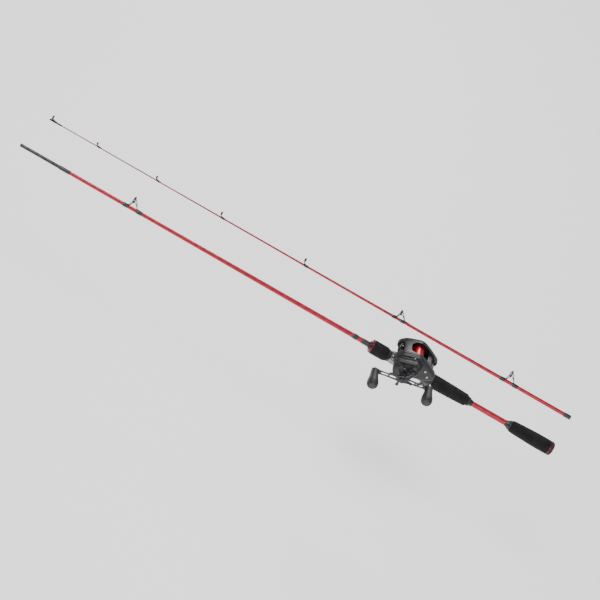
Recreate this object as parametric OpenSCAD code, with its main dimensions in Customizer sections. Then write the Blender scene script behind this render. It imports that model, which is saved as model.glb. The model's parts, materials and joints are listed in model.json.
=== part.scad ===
// Two-piece casting rod with a low-profile baitcasting reel, taken apart and laid side by side.
// Origin: centre of the butt cap's end face, on the rod axis. +X runs along the rod to its tip,
// +Y to the handle side of the reel, +Z to the side that carries the reel and the line guides.

/* [Rod] */
// Length of the butt section, cap face to the end of the male ferrule
butt_len = 1036; // [1030:1:1100]
// Length of the bare male ferrule
spigot_len = 75; // [60:1:80]
// Radius of the male ferrule
spigot_r = 2.92; // [2.9:0.01:2.95]
// Radial gap of the ferrule joint
ferrule_gap = 0.05; // [0.03:0.01:0.08]
// Length of the tip section without its tip ring
tip_len = 1016; // [1014:1:1020]
// Place of the tip section's rear end along the rod
tip_x = -22; // [-60:1:20]
// Sideways place of the tip section
tip_y = -102; // [-160:1:-60]
// Radius of the foam grips
grip_r = 12.2; // [11.8:0.1:12.4]

/* [Reel] */
// Place of the spool axis along the rod
spool_x = 282.5; // [282:0.1:283]
// Height of the spool axis
spool_z = 29; // [29:0.1:29.5]
// Radius of the spool flanges
flange_r = 14.5; // [13.5:0.1:14.6]
// Teeth of the drive gear
drive_teeth = 64; // [64:1:64]
// Teeth of the pinion
pinion_teeth = 10; // [10:1:10]
// Tooth size (module) of the drive pair
drive_module = 0.525; // [0.525:0.001:0.525]
// Distance between the two knob spindles
crank_span = 93.5; // [80:0.5:100]
// Tilt of the crank, its tip-side end down
crank_tilt = 15; // [0:0.5:30]
// Outer end of the knobs, from the rod's middle plane
knob_end = 97; // [94:0.5:100]

/* [Hidden] */
$fn = 48;
glue = 0.05;        // gap of a glued or pressed seat, each side
run_fit = 0.08;     // radial gap of a shaft in its own bore
blank_wall = 1.1;
butt_profile = [[0, 4.9], [160, 4.75], [360, 4.5], [420, 4.1], [600, 3.8], [760, 3.3], [961, 3.1]];
tip_profile = [[0, 3.5], [160, 3.1], [230, 2.8], [330, 2.5], [420, 2.2], [550, 1.7], [680, 1.4],
    [800, 1.1], [1016, 0.85]];
wrap_x = [[358.5, 372], [381, 390], [801, 812], [828, 838], [941, 961]];
tip_wrap_d = [[0, 13], [105, 114], [130, 139], [326, 334], [343, 350], [514, 523], [677, 685],
    [803, 810], [919, 925]];
wrap_t = 0.45;
stripper = [826, 24, 5.6];                    // place along the rod, top height, ring radius
double_guides = [[127, 24, 5.6], [341, 19.6, 4.4]];
single_guides = [[526, 14, 3.1], [688, 11.3, 2.6], [813, 8.9, 2.2], [928, 8.2, 2.0]];
wire_r = 0.7;
foot_w = 2.2;
foot_t = 0.7;
insert_t = 0.9;
tip_top_d = tip_len - 22;
tip_ring_r = 3.2;
tip_ring_z = 6.6;
seat_x0 = 236.05;
seat_r = 10.4;
thread_x0 = 303;
thread_x1 = 350;
thread_r = 8.6;
thread_pitch = 2;
foot_z = 8.95;      // underside of the reel foot
hood_x0 = 306;
hood_x1 = 319;
nut_x1 = 352;
pocket_y = 4.6;
centre = drive_module * (drive_teeth + pinion_teeth) / 2 + 0.02;
drive_dx = 12;
drive_x = spool_x + drive_dx;
drive_z = spool_z - sqrt(centre * centre - drive_dx * drive_dx);
worm_module = 0.8;
cog_teeth = 32;
worm_teeth = 12;
worm_dist = worm_module * (cog_teeth + worm_teeth) / 2 + 0.05;
worm_angle = 35;
worm_x = drive_x + worm_dist * cos(worm_angle);
worm_z = drive_z + worm_dist * sin(worm_angle);
rail_p = [worm_x - 1, worm_z - 5.8];
eye_x = worm_x + 4;
post_a = [spool_x - 6, spool_z + 3.5];
post_b = [spool_x + 3.5, spool_z + 6];
plate_y = 14.2;     // inner faces of the frame's side plates
plate_t = 2;
cover_y = plate_y + plate_t + 0.05;
step_y = 26;        // where the handle side cover steps in
case_y = 38;        // outer face of the handle side cover
palm_step_y = -23;
palm_y = -28;
skin = 1.5;
arm_y = 56.5;       // reel-side face of the crank at its middle
knob_start = 57.8;

function butt_r(x) = x > butt_len - spigot_len ? spigot_r : lookup(x, butt_profile);
function tip_r(d) = lookup(d, tip_profile);
function arc(c, r, a0, a1, n = 6) =
    [for (i = [0:n]) c + r * [cos(a0 + (a1 - a0) * i / n), sin(a0 + (a1 - a0) * i / n)]];
function tooth_ring(n, m, thick, add, ded) = [for (i = [0:n - 1]) let (a = 360 / n) each [
    for (s = [[-0.5, -ded], [-thick, -ded], [-thick * 0.5, add], [thick * 0.5, add], [thick, -ded]])
        let (r = m * (n / 2 + s[1]), t = a * (i + s[0])) [r * cos(t), r * sin(t)]]];

// Lathe about the X axis: points are [place along X, radius]
module lathe_x(points) rotate([0, 90, 0]) rotate_extrude() polygon([for (p = points) [p[1], p[0]]]);
// Lathe about the Y axis through [x, z]: points are [place along Y, radius]
module lathe_y(at, points)
    translate([at[0], 0, at[1]]) rotate([-90, 0, 0]) rotate_extrude()
        polygon([for (p = points) [p[1], p[0]]]);
// Sleeve on the butt blank under the given outer outline
module sleeve(outer) lathe_x(concat([[outer[0][0], butt_r(outer[0][0]) + glue]], outer,
    [[outer[len(outer) - 1][0], butt_r(outer[len(outer) - 1][0]) + glue]]));
module tube_x(x0, x1, r_out, r_in) lathe_x([[x0, r_in], [x0, r_out], [x1, r_out], [x1, r_in]]);
module tube_y(at, y0, y1, r_out, r_in)
    lathe_y(at, [[y0, r_in], [y0, r_out], [y1, r_out], [y1, r_in]]);
module rod_y(at, y0, y1, r) translate([at[0], y0, at[1]]) rotate([-90, 0, 0]) cylinder(h = y1 - y0, r = r);
// Plate drawn in the X-Z plane, from y0 to y1
module plate(y0, y1) translate([0, y1, 0]) rotate([90, 0, 0]) linear_extrude(y1 - y0) children();
// Round wire between two points
module wire(a, b, r) {
    v = b - a;
    translate(a) rotate([0, acos(v[2] / norm(v)), atan2(v[1], v[0])]) cylinder(h = norm(v), r = r, $fn = 24);
}
module disc2(p, r) translate(p) circle(r);
// Two circles and the straight band between them
module band2(p, rp, q, rq) {
    d = norm(q - p);
    t = atan2(q[1] - p[1], q[0] - p[0]);
    a = acos((rp - rq) / d);
    cut = 0.02;
    disc2(p, rp);
    disc2(q, rq);
    polygon([p + (rp - cut) * [cos(t + a), sin(t + a)], q + (rq - cut) * [cos(t + a), sin(t + a)],
        q + (rq - cut) * [cos(t - a), sin(t - a)], p + (rp - cut) * [cos(t - a), sin(t - a)]]);
}
// Outline round a ring of circles, each [x, z, radius], drawn in or out by grow
module outline2(c, grow = 0) {
    n = len(c);
    for (i = [0:n - 1]) {
        j = (i + 1) % n;
        band2([c[i][0], c[i][1]], c[i][2] + grow, [c[j][0], c[j][1]], c[j][2] + grow);
    }
    polygon([for (p = c) [p[0], p[1]]]);
}
handle_outline = [[spool_x, spool_z, 16.5], [305.5, 30, 8.5], [309.5, 22.5, 10],
    [drive_x, drive_z, 18.9], [251.5, 21.5, 9.3]];
handle_outer = [[spool_x, spool_z, 11], [308, 21.5, 9.5], [drive_x, drive_z, 18.9]];
palm_outline = [[spool_x, spool_z, 16.5], [304.5, 28.5, 8], [309.5, 22, 8.5], [288, 22.5, 9.5],
    [251.5, 21.5, 9.3]];
palm_outer = [[spool_x, spool_z, 13], [301, 25, 6.5], [260, 23, 7]];

// ---- Rod, butt section ----
module butt_blank() color("firebrick") difference() {
    lathe_x(concat([[5.55, 0]], [[5.55, butt_r(5.55)]],
        [for (p = butt_profile) if (p[0] > 6) [p[0], p[1]]],
        [[butt_len - spigot_len, spigot_r], [butt_len, spigot_r], [butt_len, 0]]));
    lathe_x([[5, 0], [5, 3.8], [butt_len - 300, 3.35 - blank_wall],
        [butt_len + 1, spigot_r - blank_wall], [butt_len + 1, 0]]);
}
module butt_cap() color("maroon")
    lathe_x(concat([[0, 0]], arc([2.6, 9.5], 2.6, 180, 90), [[5.5, 12.1], [5.5, 3.7], [20, 3.7], [20, 0]]));
module butt_ring() color("red")
    sleeve([[5.56, 12], [5.9, grip_r], [7.7, grip_r], [8, 12]]);
module butt_grip() color([0.09, 0.09, 0.1])
    sleeve(concat([[8.05, 11.9], [9, grip_r], [30, grip_r], [50, 11.6], [71, 10.8]],
        arc([78.5, 7], 3.6, 80, 0)));
module butt_grip_check() color("dimgray") sleeve([[82.2, 8.4], [85, 8.4], [87, 6.4], [92, 5.2]]);
module rear_grip_check() color("dimgray") sleeve([[157, 5.2], [161, 6.2], [163, 8], [166.4, 8]]);
module rear_grip() color([0.09, 0.09, 0.1])
    sleeve(concat(arc([170, 7], 3.5, 180, 100), [[183, 10.9], [193, 11.2], [203, 11.5], [213, 11.8],
        [230, grip_r], [236, grip_r]]));
module reel_seat() color([0.12, 0.12, 0.13]) difference() {
    union() {
        // Barrel, then the threaded stretch as rings at the thread's pitch
        lathe_x(concat([[seat_x0, 0], [seat_x0, 11.8], [240, 11.8], [256, seat_r], [thread_x0, seat_r]],
            [for (x = [thread_x0:thread_pitch:thread_x1 - thread_pitch]) each [[x + 0.01, thread_r - 0.5],
                [x + thread_pitch / 2, thread_r], [x + thread_pitch, thread_r - 0.5]]],
            [[thread_x1, 0]]));
        // Fixed hood over the rear tab of the reel foot
        intersection() {
            plate(-8, 8) band2([240, 6], 6.8, [247.4, 6], 6.4);
            translate([seat_x0, -8, 0]) cube([14, 16, 13]);
        }
        // Finger trigger
        plate(-3.5, 3.5) {
            band2([243, -7], 6, [246.5, -15], 3.4);
            band2([246.5, -15], 3.4, [250.5, -21.8], 2.2);
        }
    }
    lathe_x([[seat_x0 - 1, 0], [seat_x0 - 1, butt_r(seat_x0) + glue], [thread_x1 + 1, butt_r(thread_x1) + glue],
        [thread_x1 + 1, 0]]);
    translate([254, -15, foot_z - 0.05]) cube([thread_x0 - 254, 30, 10]);
    translate([243.4, -pocket_y, foot_z - 0.05]) cube([12, 2 * pocket_y, 1.6]);
}
module butt_wraps() color([0.08, 0.08, 0.09]) difference() {
    for (w = wrap_x) sleeve([[w[0], butt_r(w[0]) + 0.2], [w[0] + 1, butt_r(w[0]) + wrap_t],
        [w[1] - 1, butt_r(w[1]) + wrap_t], [w[1], butt_r(w[1]) + 0.2]]);
    for (side = [-1, 1]) guide_foot(stripper[0], butt_r(stripper[0]), side, 0.05);
}
// Flat foot of a guide: the short one towards the tip, the long one towards the butt
module guide_foot(x, blank, side, extra = 0) {
    x0 = side > 0 ? x - 1 : x - 24;
    translate([x0 - extra, -foot_w / 2 - extra, blank + 0.06 - extra])
        cube([(side > 0 ? 11 : 12) + 2 * extra, foot_w + 2 * extra, foot_t + 2 * extra]);
}
// Line guide frame: a wire ring on legs that stand on one or two feet
module guide_frame(x, top, ring, blank, feet) {
    ring_z = top - ring - wire_r;
    foot_top = blank + 0.06 + foot_t / 2;
    translate([x, 0, ring_z]) rotate([0, 90, 0]) rotate_extrude() translate([ring, 0]) circle(wire_r, $fn = 20);
    for (s = [-1, 1]) {
        wire([x, s * ring * 0.6, ring_z - ring * 0.8], [x + (feet > 1 ? 2 : -4), s * 0.6, foot_top], wire_r * 0.8);
        if (feet > 1)
            wire([x, s * ring, ring_z], [x - 13.5, s * 0.6, foot_top], wire_r * 0.8);
    }
    if (feet > 1) {
        guide_foot(x, blank, 1);
        guide_foot(x, blank, -1);
    } else {
        translate([x - 11, -foot_w / 2, blank + 0.06]) cube([8, foot_w, foot_t]);
    }
}
module guide_insert(x, top, ring) translate([x, 0, top - ring - wire_r]) rotate([0, 90, 0])
    rotate_extrude() translate([ring - wire_r - insert_t / 2 - 0.03, 0]) circle(insert_t / 2, $fn = 20);
module stripper_guide() color("gray") guide_frame(stripper[0], stripper[1], stripper[2], butt_r(stripper[0]), 2);
module stripper_ring() color("lightgray") guide_insert(stripper[0], stripper[1], stripper[2]);

// ---- Reel seat's moving parts ----
module sliding_hood() color("silver") difference() {
    lathe_x([[hood_x0, thread_r + 0.15], [hood_x0, 11.4], [hood_x0 + 2, 12.4], [hood_x1 - 3, 12.4],
        [hood_x1, 10.4], [hood_x1, thread_r + 0.15]]);
    translate([hood_x0 - 1, -pocket_y, 0]) cube([9, 2 * pocket_y, foot_z + 1.55]);
}
module locking_nut() color([0.12, 0.12, 0.13])
    lathe_x([[hood_x1 + 0.2, thread_r + 0.15], [hood_x1 + 0.2, 9.2], [321.5, 10.2], [323, 10.2], [323, 9.7],
        [nut_x1, 9.7], [nut_x1, thread_r + 0.15]]);
module fore_grip() color([0.09, 0.09, 0.1])
    lathe_x([[323.05, 9.75], [323.05, 10.6], [328, 12.2], [nut_x1 - 0.5, 12.2], [nut_x1, 11.9], [nut_x1, 9.75]]);
module fore_grip_ring() color("red")
    lathe_x([[nut_x1 + 0.05, 5.4], [nut_x1 + 0.05, 12], [nut_x1 + 0.8, 12.3], [355, 11.6], [356, 9.6], [356, 5.4]]);
module fore_grip_check() color("dimgray") lathe_x([[356.05, 5.4], [356.05, 8], [358, 7.2], [358, 5.4]]);

// ---- Rod, tip section ----
module on_tip() translate([tip_x, tip_y, 0]) children();
module tip_blank() color("firebrick") on_tip() difference() {
    lathe_x(concat([[0, 0]], tip_profile, [[tip_len, 0]]));
    lathe_x([[-1, 0], [-1, spigot_r + ferrule_gap], [80, spigot_r + ferrule_gap], [80, 2.1], [500, 1.1],
        [500, 0]]);
}
module tip_wraps() color([0.08, 0.08, 0.09]) on_tip() difference() {
    for (w = tip_wrap_d) lathe_x([[w[0], tip_r(w[0]) + glue], [w[0], tip_r(w[0]) + 0.2],
        [w[0] + 1, tip_r(w[0]) + wrap_t], [w[1] - 1, tip_r(w[1]) + wrap_t], [w[1], tip_r(w[1]) + 0.2],
        [w[1], tip_r(w[1]) + glue]]);
    for (g = double_guides) for (side = [-1, 1]) guide_foot(g[0], tip_r(g[0]), side, 0.05);
    for (g = single_guides) translate([g[0] - 11.05, -foot_w / 2 - 0.05, 0])
        cube([8.1, foot_w + 0.1, tip_r(g[0]) + foot_t + 0.11]);
}
module double_foot_guides() color("gray") on_tip()
    for (g = double_guides) guide_frame(g[0], g[1], g[2], tip_r(g[0]), 2);
module single_foot_guides() color("gray") on_tip()
    for (g = single_guides) guide_frame(g[0], g[1], g[2], tip_r(g[0]), 1);
module guide_rings() color("lightgray") on_tip()
    for (g = concat(double_guides, single_guides)) guide_insert(g[0], g[1], g[2]);
module tip_top() color("gray") on_tip() {
    lathe_x([[tip_top_d, tip_r(tip_top_d) + glue], [tip_top_d, 1.5], [tip_len + 1, 1.5], [tip_len + 2, 0.9],
        [tip_len + 2, 0], [tip_len + 0.1, 0], [tip_len + 0.1, tip_r(tip_top_d) + glue]]);
    translate([tip_len - 1, 0, tip_ring_z]) rotate([0, 90, 0]) rotate_extrude() translate([tip_ring_r, 0]) circle(wire_r, $fn = 20);
    for (s = [-1, 1]) wire([tip_len - 1, s * 2, 4.2], [tip_len - 9, s * 0.5, 1.2], 0.5);
}
module tip_top_ring() color("lightgray") on_tip() translate([tip_len - 1, 0, tip_ring_z]) rotate([0, 90, 0])
    rotate_extrude() translate([tip_ring_r - wire_r - insert_t / 2 - 0.03, 0]) circle(insert_t / 2, $fn = 20);

// ---- Reel ----
module reel_foot() color([0.15, 0.15, 0.16]) {
    translate([243.6, -pocket_y + 0.1, foot_z]) cube([69.4, 2 * pocket_y - 0.2, 1.4]);
    translate([256, -6.5, foot_z]) cube([46, 13, 1.4]);
    translate([262, -6, foot_z + 1.4]) cube([38, 12, 3.1]);
}
module reel_frame() color([0.16, 0.16, 0.17]) {
    difference() {
        union() {
            plate(plate_y, plate_y + plate_t) outline2(handle_outline);
            plate(-plate_y - plate_t, -plate_y) outline2(palm_outline);
        }
        rod_y([spool_x, spool_z], -plate_y - plate_t - 1, -plate_y + 1, flange_r + 0.8);
        rod_y([spool_x, spool_z], plate_y - 1, plate_y + plate_t + 1, 4.2);
        rod_y([drive_x, drive_z], plate_y - 1, plate_y + plate_t + 1, 2.5 + run_fit);
        rod_y([worm_x, worm_z], -plate_y - plate_t - 1, plate_y + plate_t + 1, 2.2 + run_fit);
        rod_y(rail_p, -plate_y - plate_t - 1, plate_y + plate_t + 1, 1 + glue);
    }
    translate([254, -plate_y, 13.5]) cube([46, 2 * plate_y, 1]);
    plate(-plate_y, plate_y) band2([249.5, 17], 3.4, [250.5, 24], 2.6);
    plate(-plate_y, plate_y) band2([250, 14.8], 1.2, [256, 14.6], 1.1);
    plate(-plate_y, plate_y) band2([300, 14.2], 0.9, [312, 14.4], 0.9);
    plate(-plate_y, plate_y) disc2([301.5, 33.6], 1.4);
    for (p = [post_a, post_b]) rod_y(p, plate_y + plate_t - 0.5, 33.6, 0.9);
}
module front_cover() color([0.16, 0.16, 0.17]) union() {
    plate(-plate_y + 0.05, plate_y - 0.05) band2([300, 38.1], 1.3, [305.5, 35.6], 1.4);
    plate(-plate_y + 0.05, plate_y - 0.05) band2([304.5, 36.1], 1.4, [309.5, 33], 1.2);
}
module handle_side_cover() color([0.14, 0.14, 0.15]) difference() {
    union() {
        difference() {
            union() {
                plate(cover_y, step_y) outline2(handle_outline);
                plate(step_y - 1, case_y) outline2(handle_outer);
            }
            plate(cover_y - 1, step_y - skin) outline2(handle_outline, -skin);
            plate(step_y - skin - 1, case_y - skin) outline2(handle_outer, -skin);
        }
        tube_y([drive_x, drive_z], 31, case_y - 0.5, 8.6, 7.1);
        rod_y([spool_x, spool_z], 34, 42, 5.6);
    }
    rod_y([spool_x, spool_z], 33, 43, 1.6);
    rod_y([spool_x, spool_z], 33, 37.1, 3.55);
    rod_y([drive_x, drive_z], 30, case_y + 1, 3 + 0.4);
}
module palm_side_cover() color([0.14, 0.14, 0.15]) difference() {
    union() {
        difference() {
            union() {
                plate(palm_step_y, -plate_y - plate_t - 0.05) outline2(palm_outline);
                plate(palm_y, palm_step_y + 1) outline2(palm_outer);
            }
            plate(palm_step_y + skin, -plate_y - plate_t + 1) outline2(palm_outline, -skin);
            plate(palm_y + skin, palm_step_y + skin + 1) outline2(palm_outer, -skin);
        }
        tube_y([spool_x, spool_z], palm_y + 0.5, -22.9, 5, 3.55);
    }
    rod_y([spool_x, spool_z], palm_y - 1, palm_y + 3, 1.6);
}
module thumb_bar() color([0.13, 0.13, 0.14]) union() {
    plate(-plate_y + 0.4, plate_y - 0.4) band2([258.3, 31.6], 2.2, [262, 32], 2.0);
    plate(-plate_y + 0.4, plate_y - 0.4) band2([261, 31.9], 2.0, [264, 32.2], 1.9);
}
module spool() color("red") lathe_y([spool_x, spool_z],
    [[-5, 1.25 + glue], [-5, 3.4], [-1, 4], [-1, 9.6], [-12, 10], [-12, flange_r], [-11.1, flange_r], [-10.6, 11.3],
    [-4, 10.8], [4, 10.8], [10.6, 11.3], [11.1, flange_r], [12, flange_r], [12, 10], [1, 9.6], [1, 4], [5, 3.4],
    [5, 1.25 + glue]]);
module spool_shaft() color("silver") {
    rod_y([spool_x, spool_z], -26.2, 37, 1.25);
    rod_y([spool_x, spool_z], 17.2, 18.2, 2.1);
}
module bearing(at, y0, y1, r_out, r_in) tube_y(at, y0, y1, r_out, r_in);
module handle_bearing() color("silver") bearing([spool_x, spool_z], 34.1, 37, 3.5, 1.25 + run_fit);
module palm_bearing() color("silver") bearing([spool_x, spool_z], -26, -23, 3.5, 1.25 + run_fit);
module anti_reverse_bearing() color("silver") bearing([drive_x, drive_z], 31.3, 36, 7.05, 3 + run_fit);
module gear_y(at, y0, y1, n, m, phase, thick = 0.2, add = 0.75, ded = 1)
    translate([at[0], y1, at[1]]) rotate([90, 0, 0]) linear_extrude(y1 - y0) rotate(phase)
        polygon(tooth_ring(n, m, thick, add, ded));
mesh_angle = atan2(spool_z - drive_z, spool_x - drive_x);
module pinion() color("goldenrod") difference() {
    union() {
        gear_y([spool_x, spool_z], 22.6, 30.5, pinion_teeth, drive_module, mesh_angle + 180 + 18);
        rod_y([spool_x, spool_z], 21.5, 22.6, 2.9);
        rod_y([spool_x, spool_z], 18.6, 21.6, 2.1);
        rod_y([spool_x, spool_z], 18.6, 20.1, 2.9);
    }
    rod_y([spool_x, spool_z], 18, 31, 1.25 + run_fit);
}
module drive_gear() color("goldenrod") difference() {
    gear_y([drive_x, drive_z], 24.3, 28, drive_teeth, drive_module, mesh_angle);
    rod_y([drive_x, drive_z], 23, 29, 3.02);
    rod_y([drive_x, drive_z], 25.5, 29, 13);
}
module shaft_cog() color("white") difference() {
    gear_y([drive_x, drive_z], 17.4, 19.8, cog_teeth, worm_module, worm_angle);
    rod_y([drive_x, drive_z], 17, 20.5, 2.52);
}
module worm_gear() color("white") difference() {
    gear_y([worm_x, worm_z], 17.4, 19.8, worm_teeth, worm_module, worm_angle + 180 + 15);
    rod_y([worm_x, worm_z], 17, 20.5, 1.52);
}
module drive_shaft() color("silver") {
    rod_y([drive_x, drive_z], 14.4, 20.4, 2.5);
    rod_y([drive_x, drive_z], 20.4, arm_y, 3);
    rod_y([drive_x, drive_z], arm_y, 61.2, 2);
}
module drag_washers() color([0.2, 0.2, 0.22]) for (i = [0:2])
    tube_y([drive_x, drive_z], 25.55 + i * 1.3, 26.75 + i * 1.3, 12.6, 3.05);
module star_drag() color([0.3, 0.3, 0.32]) difference() {
    union() {
        lathe_y([drive_x, drive_z], [[42, 0], [42, 5.4], [46, 6.6], [50.6, 6.6], [51.4, 5.4], [51.4, 0]]);
        translate([drive_x, 0, drive_z]) for (i = [0:4]) rotate([0, 72 * i + 20, 0])
            plate(48.4, 50.4) band2([0, 0], 3.4, [20.4, 0], 2.6);
    }
    rod_y([drive_x, drive_z], 41, 53, 3 + run_fit);
}
module on_crank() translate([drive_x, 0, drive_z]) rotate([0, crank_tilt, 0]) children();
module crank_half() difference() {
    plate(0, 2.4) {
        band2([0, 0], 6.4, [25, 0], 4.2);
        band2([22, 0], 4.2, [crank_span / 2, 0], 6.4);
    }
    plate(-1, 3.4) band2([13, 0], 1.9, [19, 0], 1.9);
    plate(-1, 3.4) band2([26, 0], 1.9, [33, 0], 1.9);
}
module crank_arm() color([0.25, 0.25, 0.27]) on_crank() difference() {
    union() {
        for (side = [0, 180]) rotate([0, side, 0]) translate([0, arm_y, 0]) rotate([0, 0, -2]) crank_half();
        rod_y([0, 0], arm_y - 2, arm_y + 2.4, 6.6);
    }
    rod_y([0, 0], arm_y - 3, arm_y + 0.01, 3 + glue);
    rod_y([0, 0], arm_y - 3, arm_y + 4, 2 + glue);
    for (s = [-1, 1]) rod_y([s * crank_span / 2, 0], 50, 62, 2.05);
}
module crank_nut() color("dimgray") difference() {
    union() {
        translate([drive_x, arm_y + 2.7, drive_z]) rotate([-90, 0, 0]) cylinder(h = 2.9, r = 5.6, $fn = 6);
        rod_y([drive_x, drive_z], arm_y + 5.5, arm_y + 5.8, 4.4);
    }
    rod_y([drive_x, drive_z], arm_y, arm_y + 4.8, 2.05);
}
module knob_spindles() color("silver") on_crank() for (s = [-1, 1]) {
    rod_y([s * crank_span / 2, 0], arm_y - 3.2, 93, 2);
    rod_y([s * crank_span / 2, 0], arm_y - 4.2, arm_y - 1.75, 3.4);
}
module knob(side) on_crank() difference() {
    lathe_y([side * crank_span / 2, 0], concat([[knob_start, 0], [knob_start, 6], [knob_start + 1, 6.7],
        [67, 7], [73, 7.5], [80, 8.7], [86, 9.7]], arc([90, 7.7], 2.1, 90, 45), [[knob_end - 1, 8], [knob_end - 1, 0]]));
    rod_y([side * crank_span / 2, 0], knob_start - 1, 93.5, 2 + run_fit);
    rod_y([side * crank_span / 2, 0], 93.4, knob_end, 6.5);
}
module knob_cap(side) on_crank() lathe_y([side * crank_span / 2, 0],
    [[93.5, 0], [93.5, 6.45], [knob_end - 1, 6.45], [knob_end - 0.4, 5.6], [knob_end - 0.4, 4.6],
        [knob_end, 4.2], [knob_end, 0]]);
module front_knob() color([0.1, 0.1, 0.11]) knob(1);
module rear_knob() color([0.1, 0.1, 0.11]) knob(-1);
module front_knob_cap() color("dimgray") knob_cap(1);
module rear_knob_cap() color("dimgray") knob_cap(-1);
module cast_control_cap() color([0.22, 0.22, 0.24]) lathe_y([spool_x, spool_z],
    [[case_y + 0.4, 5.7], [case_y + 0.4, 7.6], [45.4, 7.6], [46.6, 6.6], [46.6, 0], [42.6, 0], [42.6, 5.7]]);
module clutch_yoke() color("ivory") difference() {
    union() {
        plate(20.3, 21.3) band2(post_a, 2.4, [spool_x, spool_z], 4.4);
        plate(20.3, 21.3) band2([spool_x, spool_z], 4.4, post_b, 2.4);
    }
    rod_y([spool_x, spool_z], 20, 22, 2.4);
    rod_y(post_a, 20, 22, 0.9 + run_fit);
    rod_y(post_b, 20, 22, 0.9 + run_fit);
    translate([spool_x - 2.2, 20, spool_z - 8]) cube([4.4, 2, 8]);
}
module yoke_springs() color("silver") for (p = [post_a, post_b]) tube_y(p, 21.35, 33.4, 1.5, 1.15);
module worm_shaft() color("silver") difference() {
    lathe_y([worm_x, worm_z], [[-15.6, 0], [-15.6, 2.2], [17, 2.2], [17, 1.5], [20.2, 1.5], [20.2, 0]]);
    for (y = [-9:3:9]) tube_y([worm_x, worm_z], y - 0.5, y + 0.5, 3, 1.6);
}
module guide_rail() color("silver") rod_y(rail_p, -plate_y - plate_t, plate_y + plate_t, 1);
module line_guide() color([0.2, 0.2, 0.22]) difference() {
    union() {
        plate(-3, 3) band2([worm_x, worm_z], 3.6, rail_p, 2.4);
        plate(-2, 2) band2([worm_x, worm_z], 3, [eye_x + 1.5, spool_z + 1.6], 1.5);
        translate([eye_x, 0, spool_z + 2.2]) rotate([0, 90, 0]) cylinder(h = 3, r = 3.6);
    }
    rod_y([worm_x, worm_z], -5, 5, 2.2 + 0.15);
    rod_y(rail_p, -5, 5, 1 + 0.12);
    translate([eye_x - 3, 0, spool_z + 2.2]) rotate([0, 90, 0]) cylinder(h = 12, r = 2.6);
}
module line_guide_ring() color("white") translate([eye_x + 0.1, 0, spool_z + 2.2]) rotate([0, 90, 0])
    rotate_extrude() polygon([[2.55, 0], [2.55, 2.8], [2.3, 3.1], [1.9, 2.6], [1.7, 1.4], [1.9, 0.2]]);
module brake_dial() color([0.3, 0.3, 0.32]) {
    lathe_y([spool_x, spool_z], [[palm_y - 2.4, 0], [palm_y - 2.4, 7.6], [palm_y - 1.6, 8.6], [palm_y - 0.1, 8.6],
        [palm_y - 0.1, 1.5], [palm_y + 1.3, 1.5], [palm_y + 1.3, 0]]);
    translate([spool_x - 7, palm_y - 3, spool_z - 1]) cube([14, 1, 2]);
}
module brake_magnets() color("silver") for (i = [0:5])
    rotate_about([spool_x, spool_z], 60 * i) rod_y([spool_x + 8.6, spool_z], palm_y + skin, -20, 1.8);
module rotate_about(p, a) translate([p[0], 0, p[1]]) rotate([0, a, 0]) translate([-p[0], 0, -p[1]]) children();
module cover_screws() color("silver") for (p = [[290, 40.5], [262, 27.5], [254, 19.5]])
    lathe_y(p, [[step_y + 0.02, 0], [step_y + 0.02, 1.7], [step_y + 0.6, 1.7], [step_y + 1, 1.2],
        [step_y + 1, 0]]);

butt_blank();
butt_cap();
butt_ring();
butt_grip();
butt_grip_check();
rear_grip_check();
rear_grip();
reel_seat();
sliding_hood();
locking_nut();
fore_grip();
fore_grip_ring();
fore_grip_check();
butt_wraps();
stripper_guide();
stripper_ring();
tip_blank();
tip_wraps();
double_foot_guides();
single_foot_guides();
guide_rings();
tip_top();
tip_top_ring();
reel_foot();
reel_frame();
handle_side_cover();
palm_side_cover();
front_cover();
thumb_bar();
spool();
spool_shaft();
handle_bearing();
palm_bearing();
pinion();
drive_gear();
shaft_cog();
drive_shaft();
drag_washers();
star_drag();
crank_arm();
crank_nut();
knob_spindles();
front_knob();
rear_knob();
front_knob_cap();
rear_knob_cap();
cast_control_cap();
anti_reverse_bearing();
clutch_yoke();
yoke_springs();
worm_shaft();
worm_gear();
line_guide();
line_guide_ring();
guide_rail();
brake_dial();
brake_magnets();
cover_screws();
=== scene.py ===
"""Looks for a two-piece casting rod with a low-profile baitcasting reel. Lengths are in millimetres until a
mesh is made, in the frame of the CAD part: +X to the rod's tip, +Y to the handle side, +Z to the reel."""

import json
import math

import bmesh
import bpy
import numpy as np
from mathutils import Matrix, Vector

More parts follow.
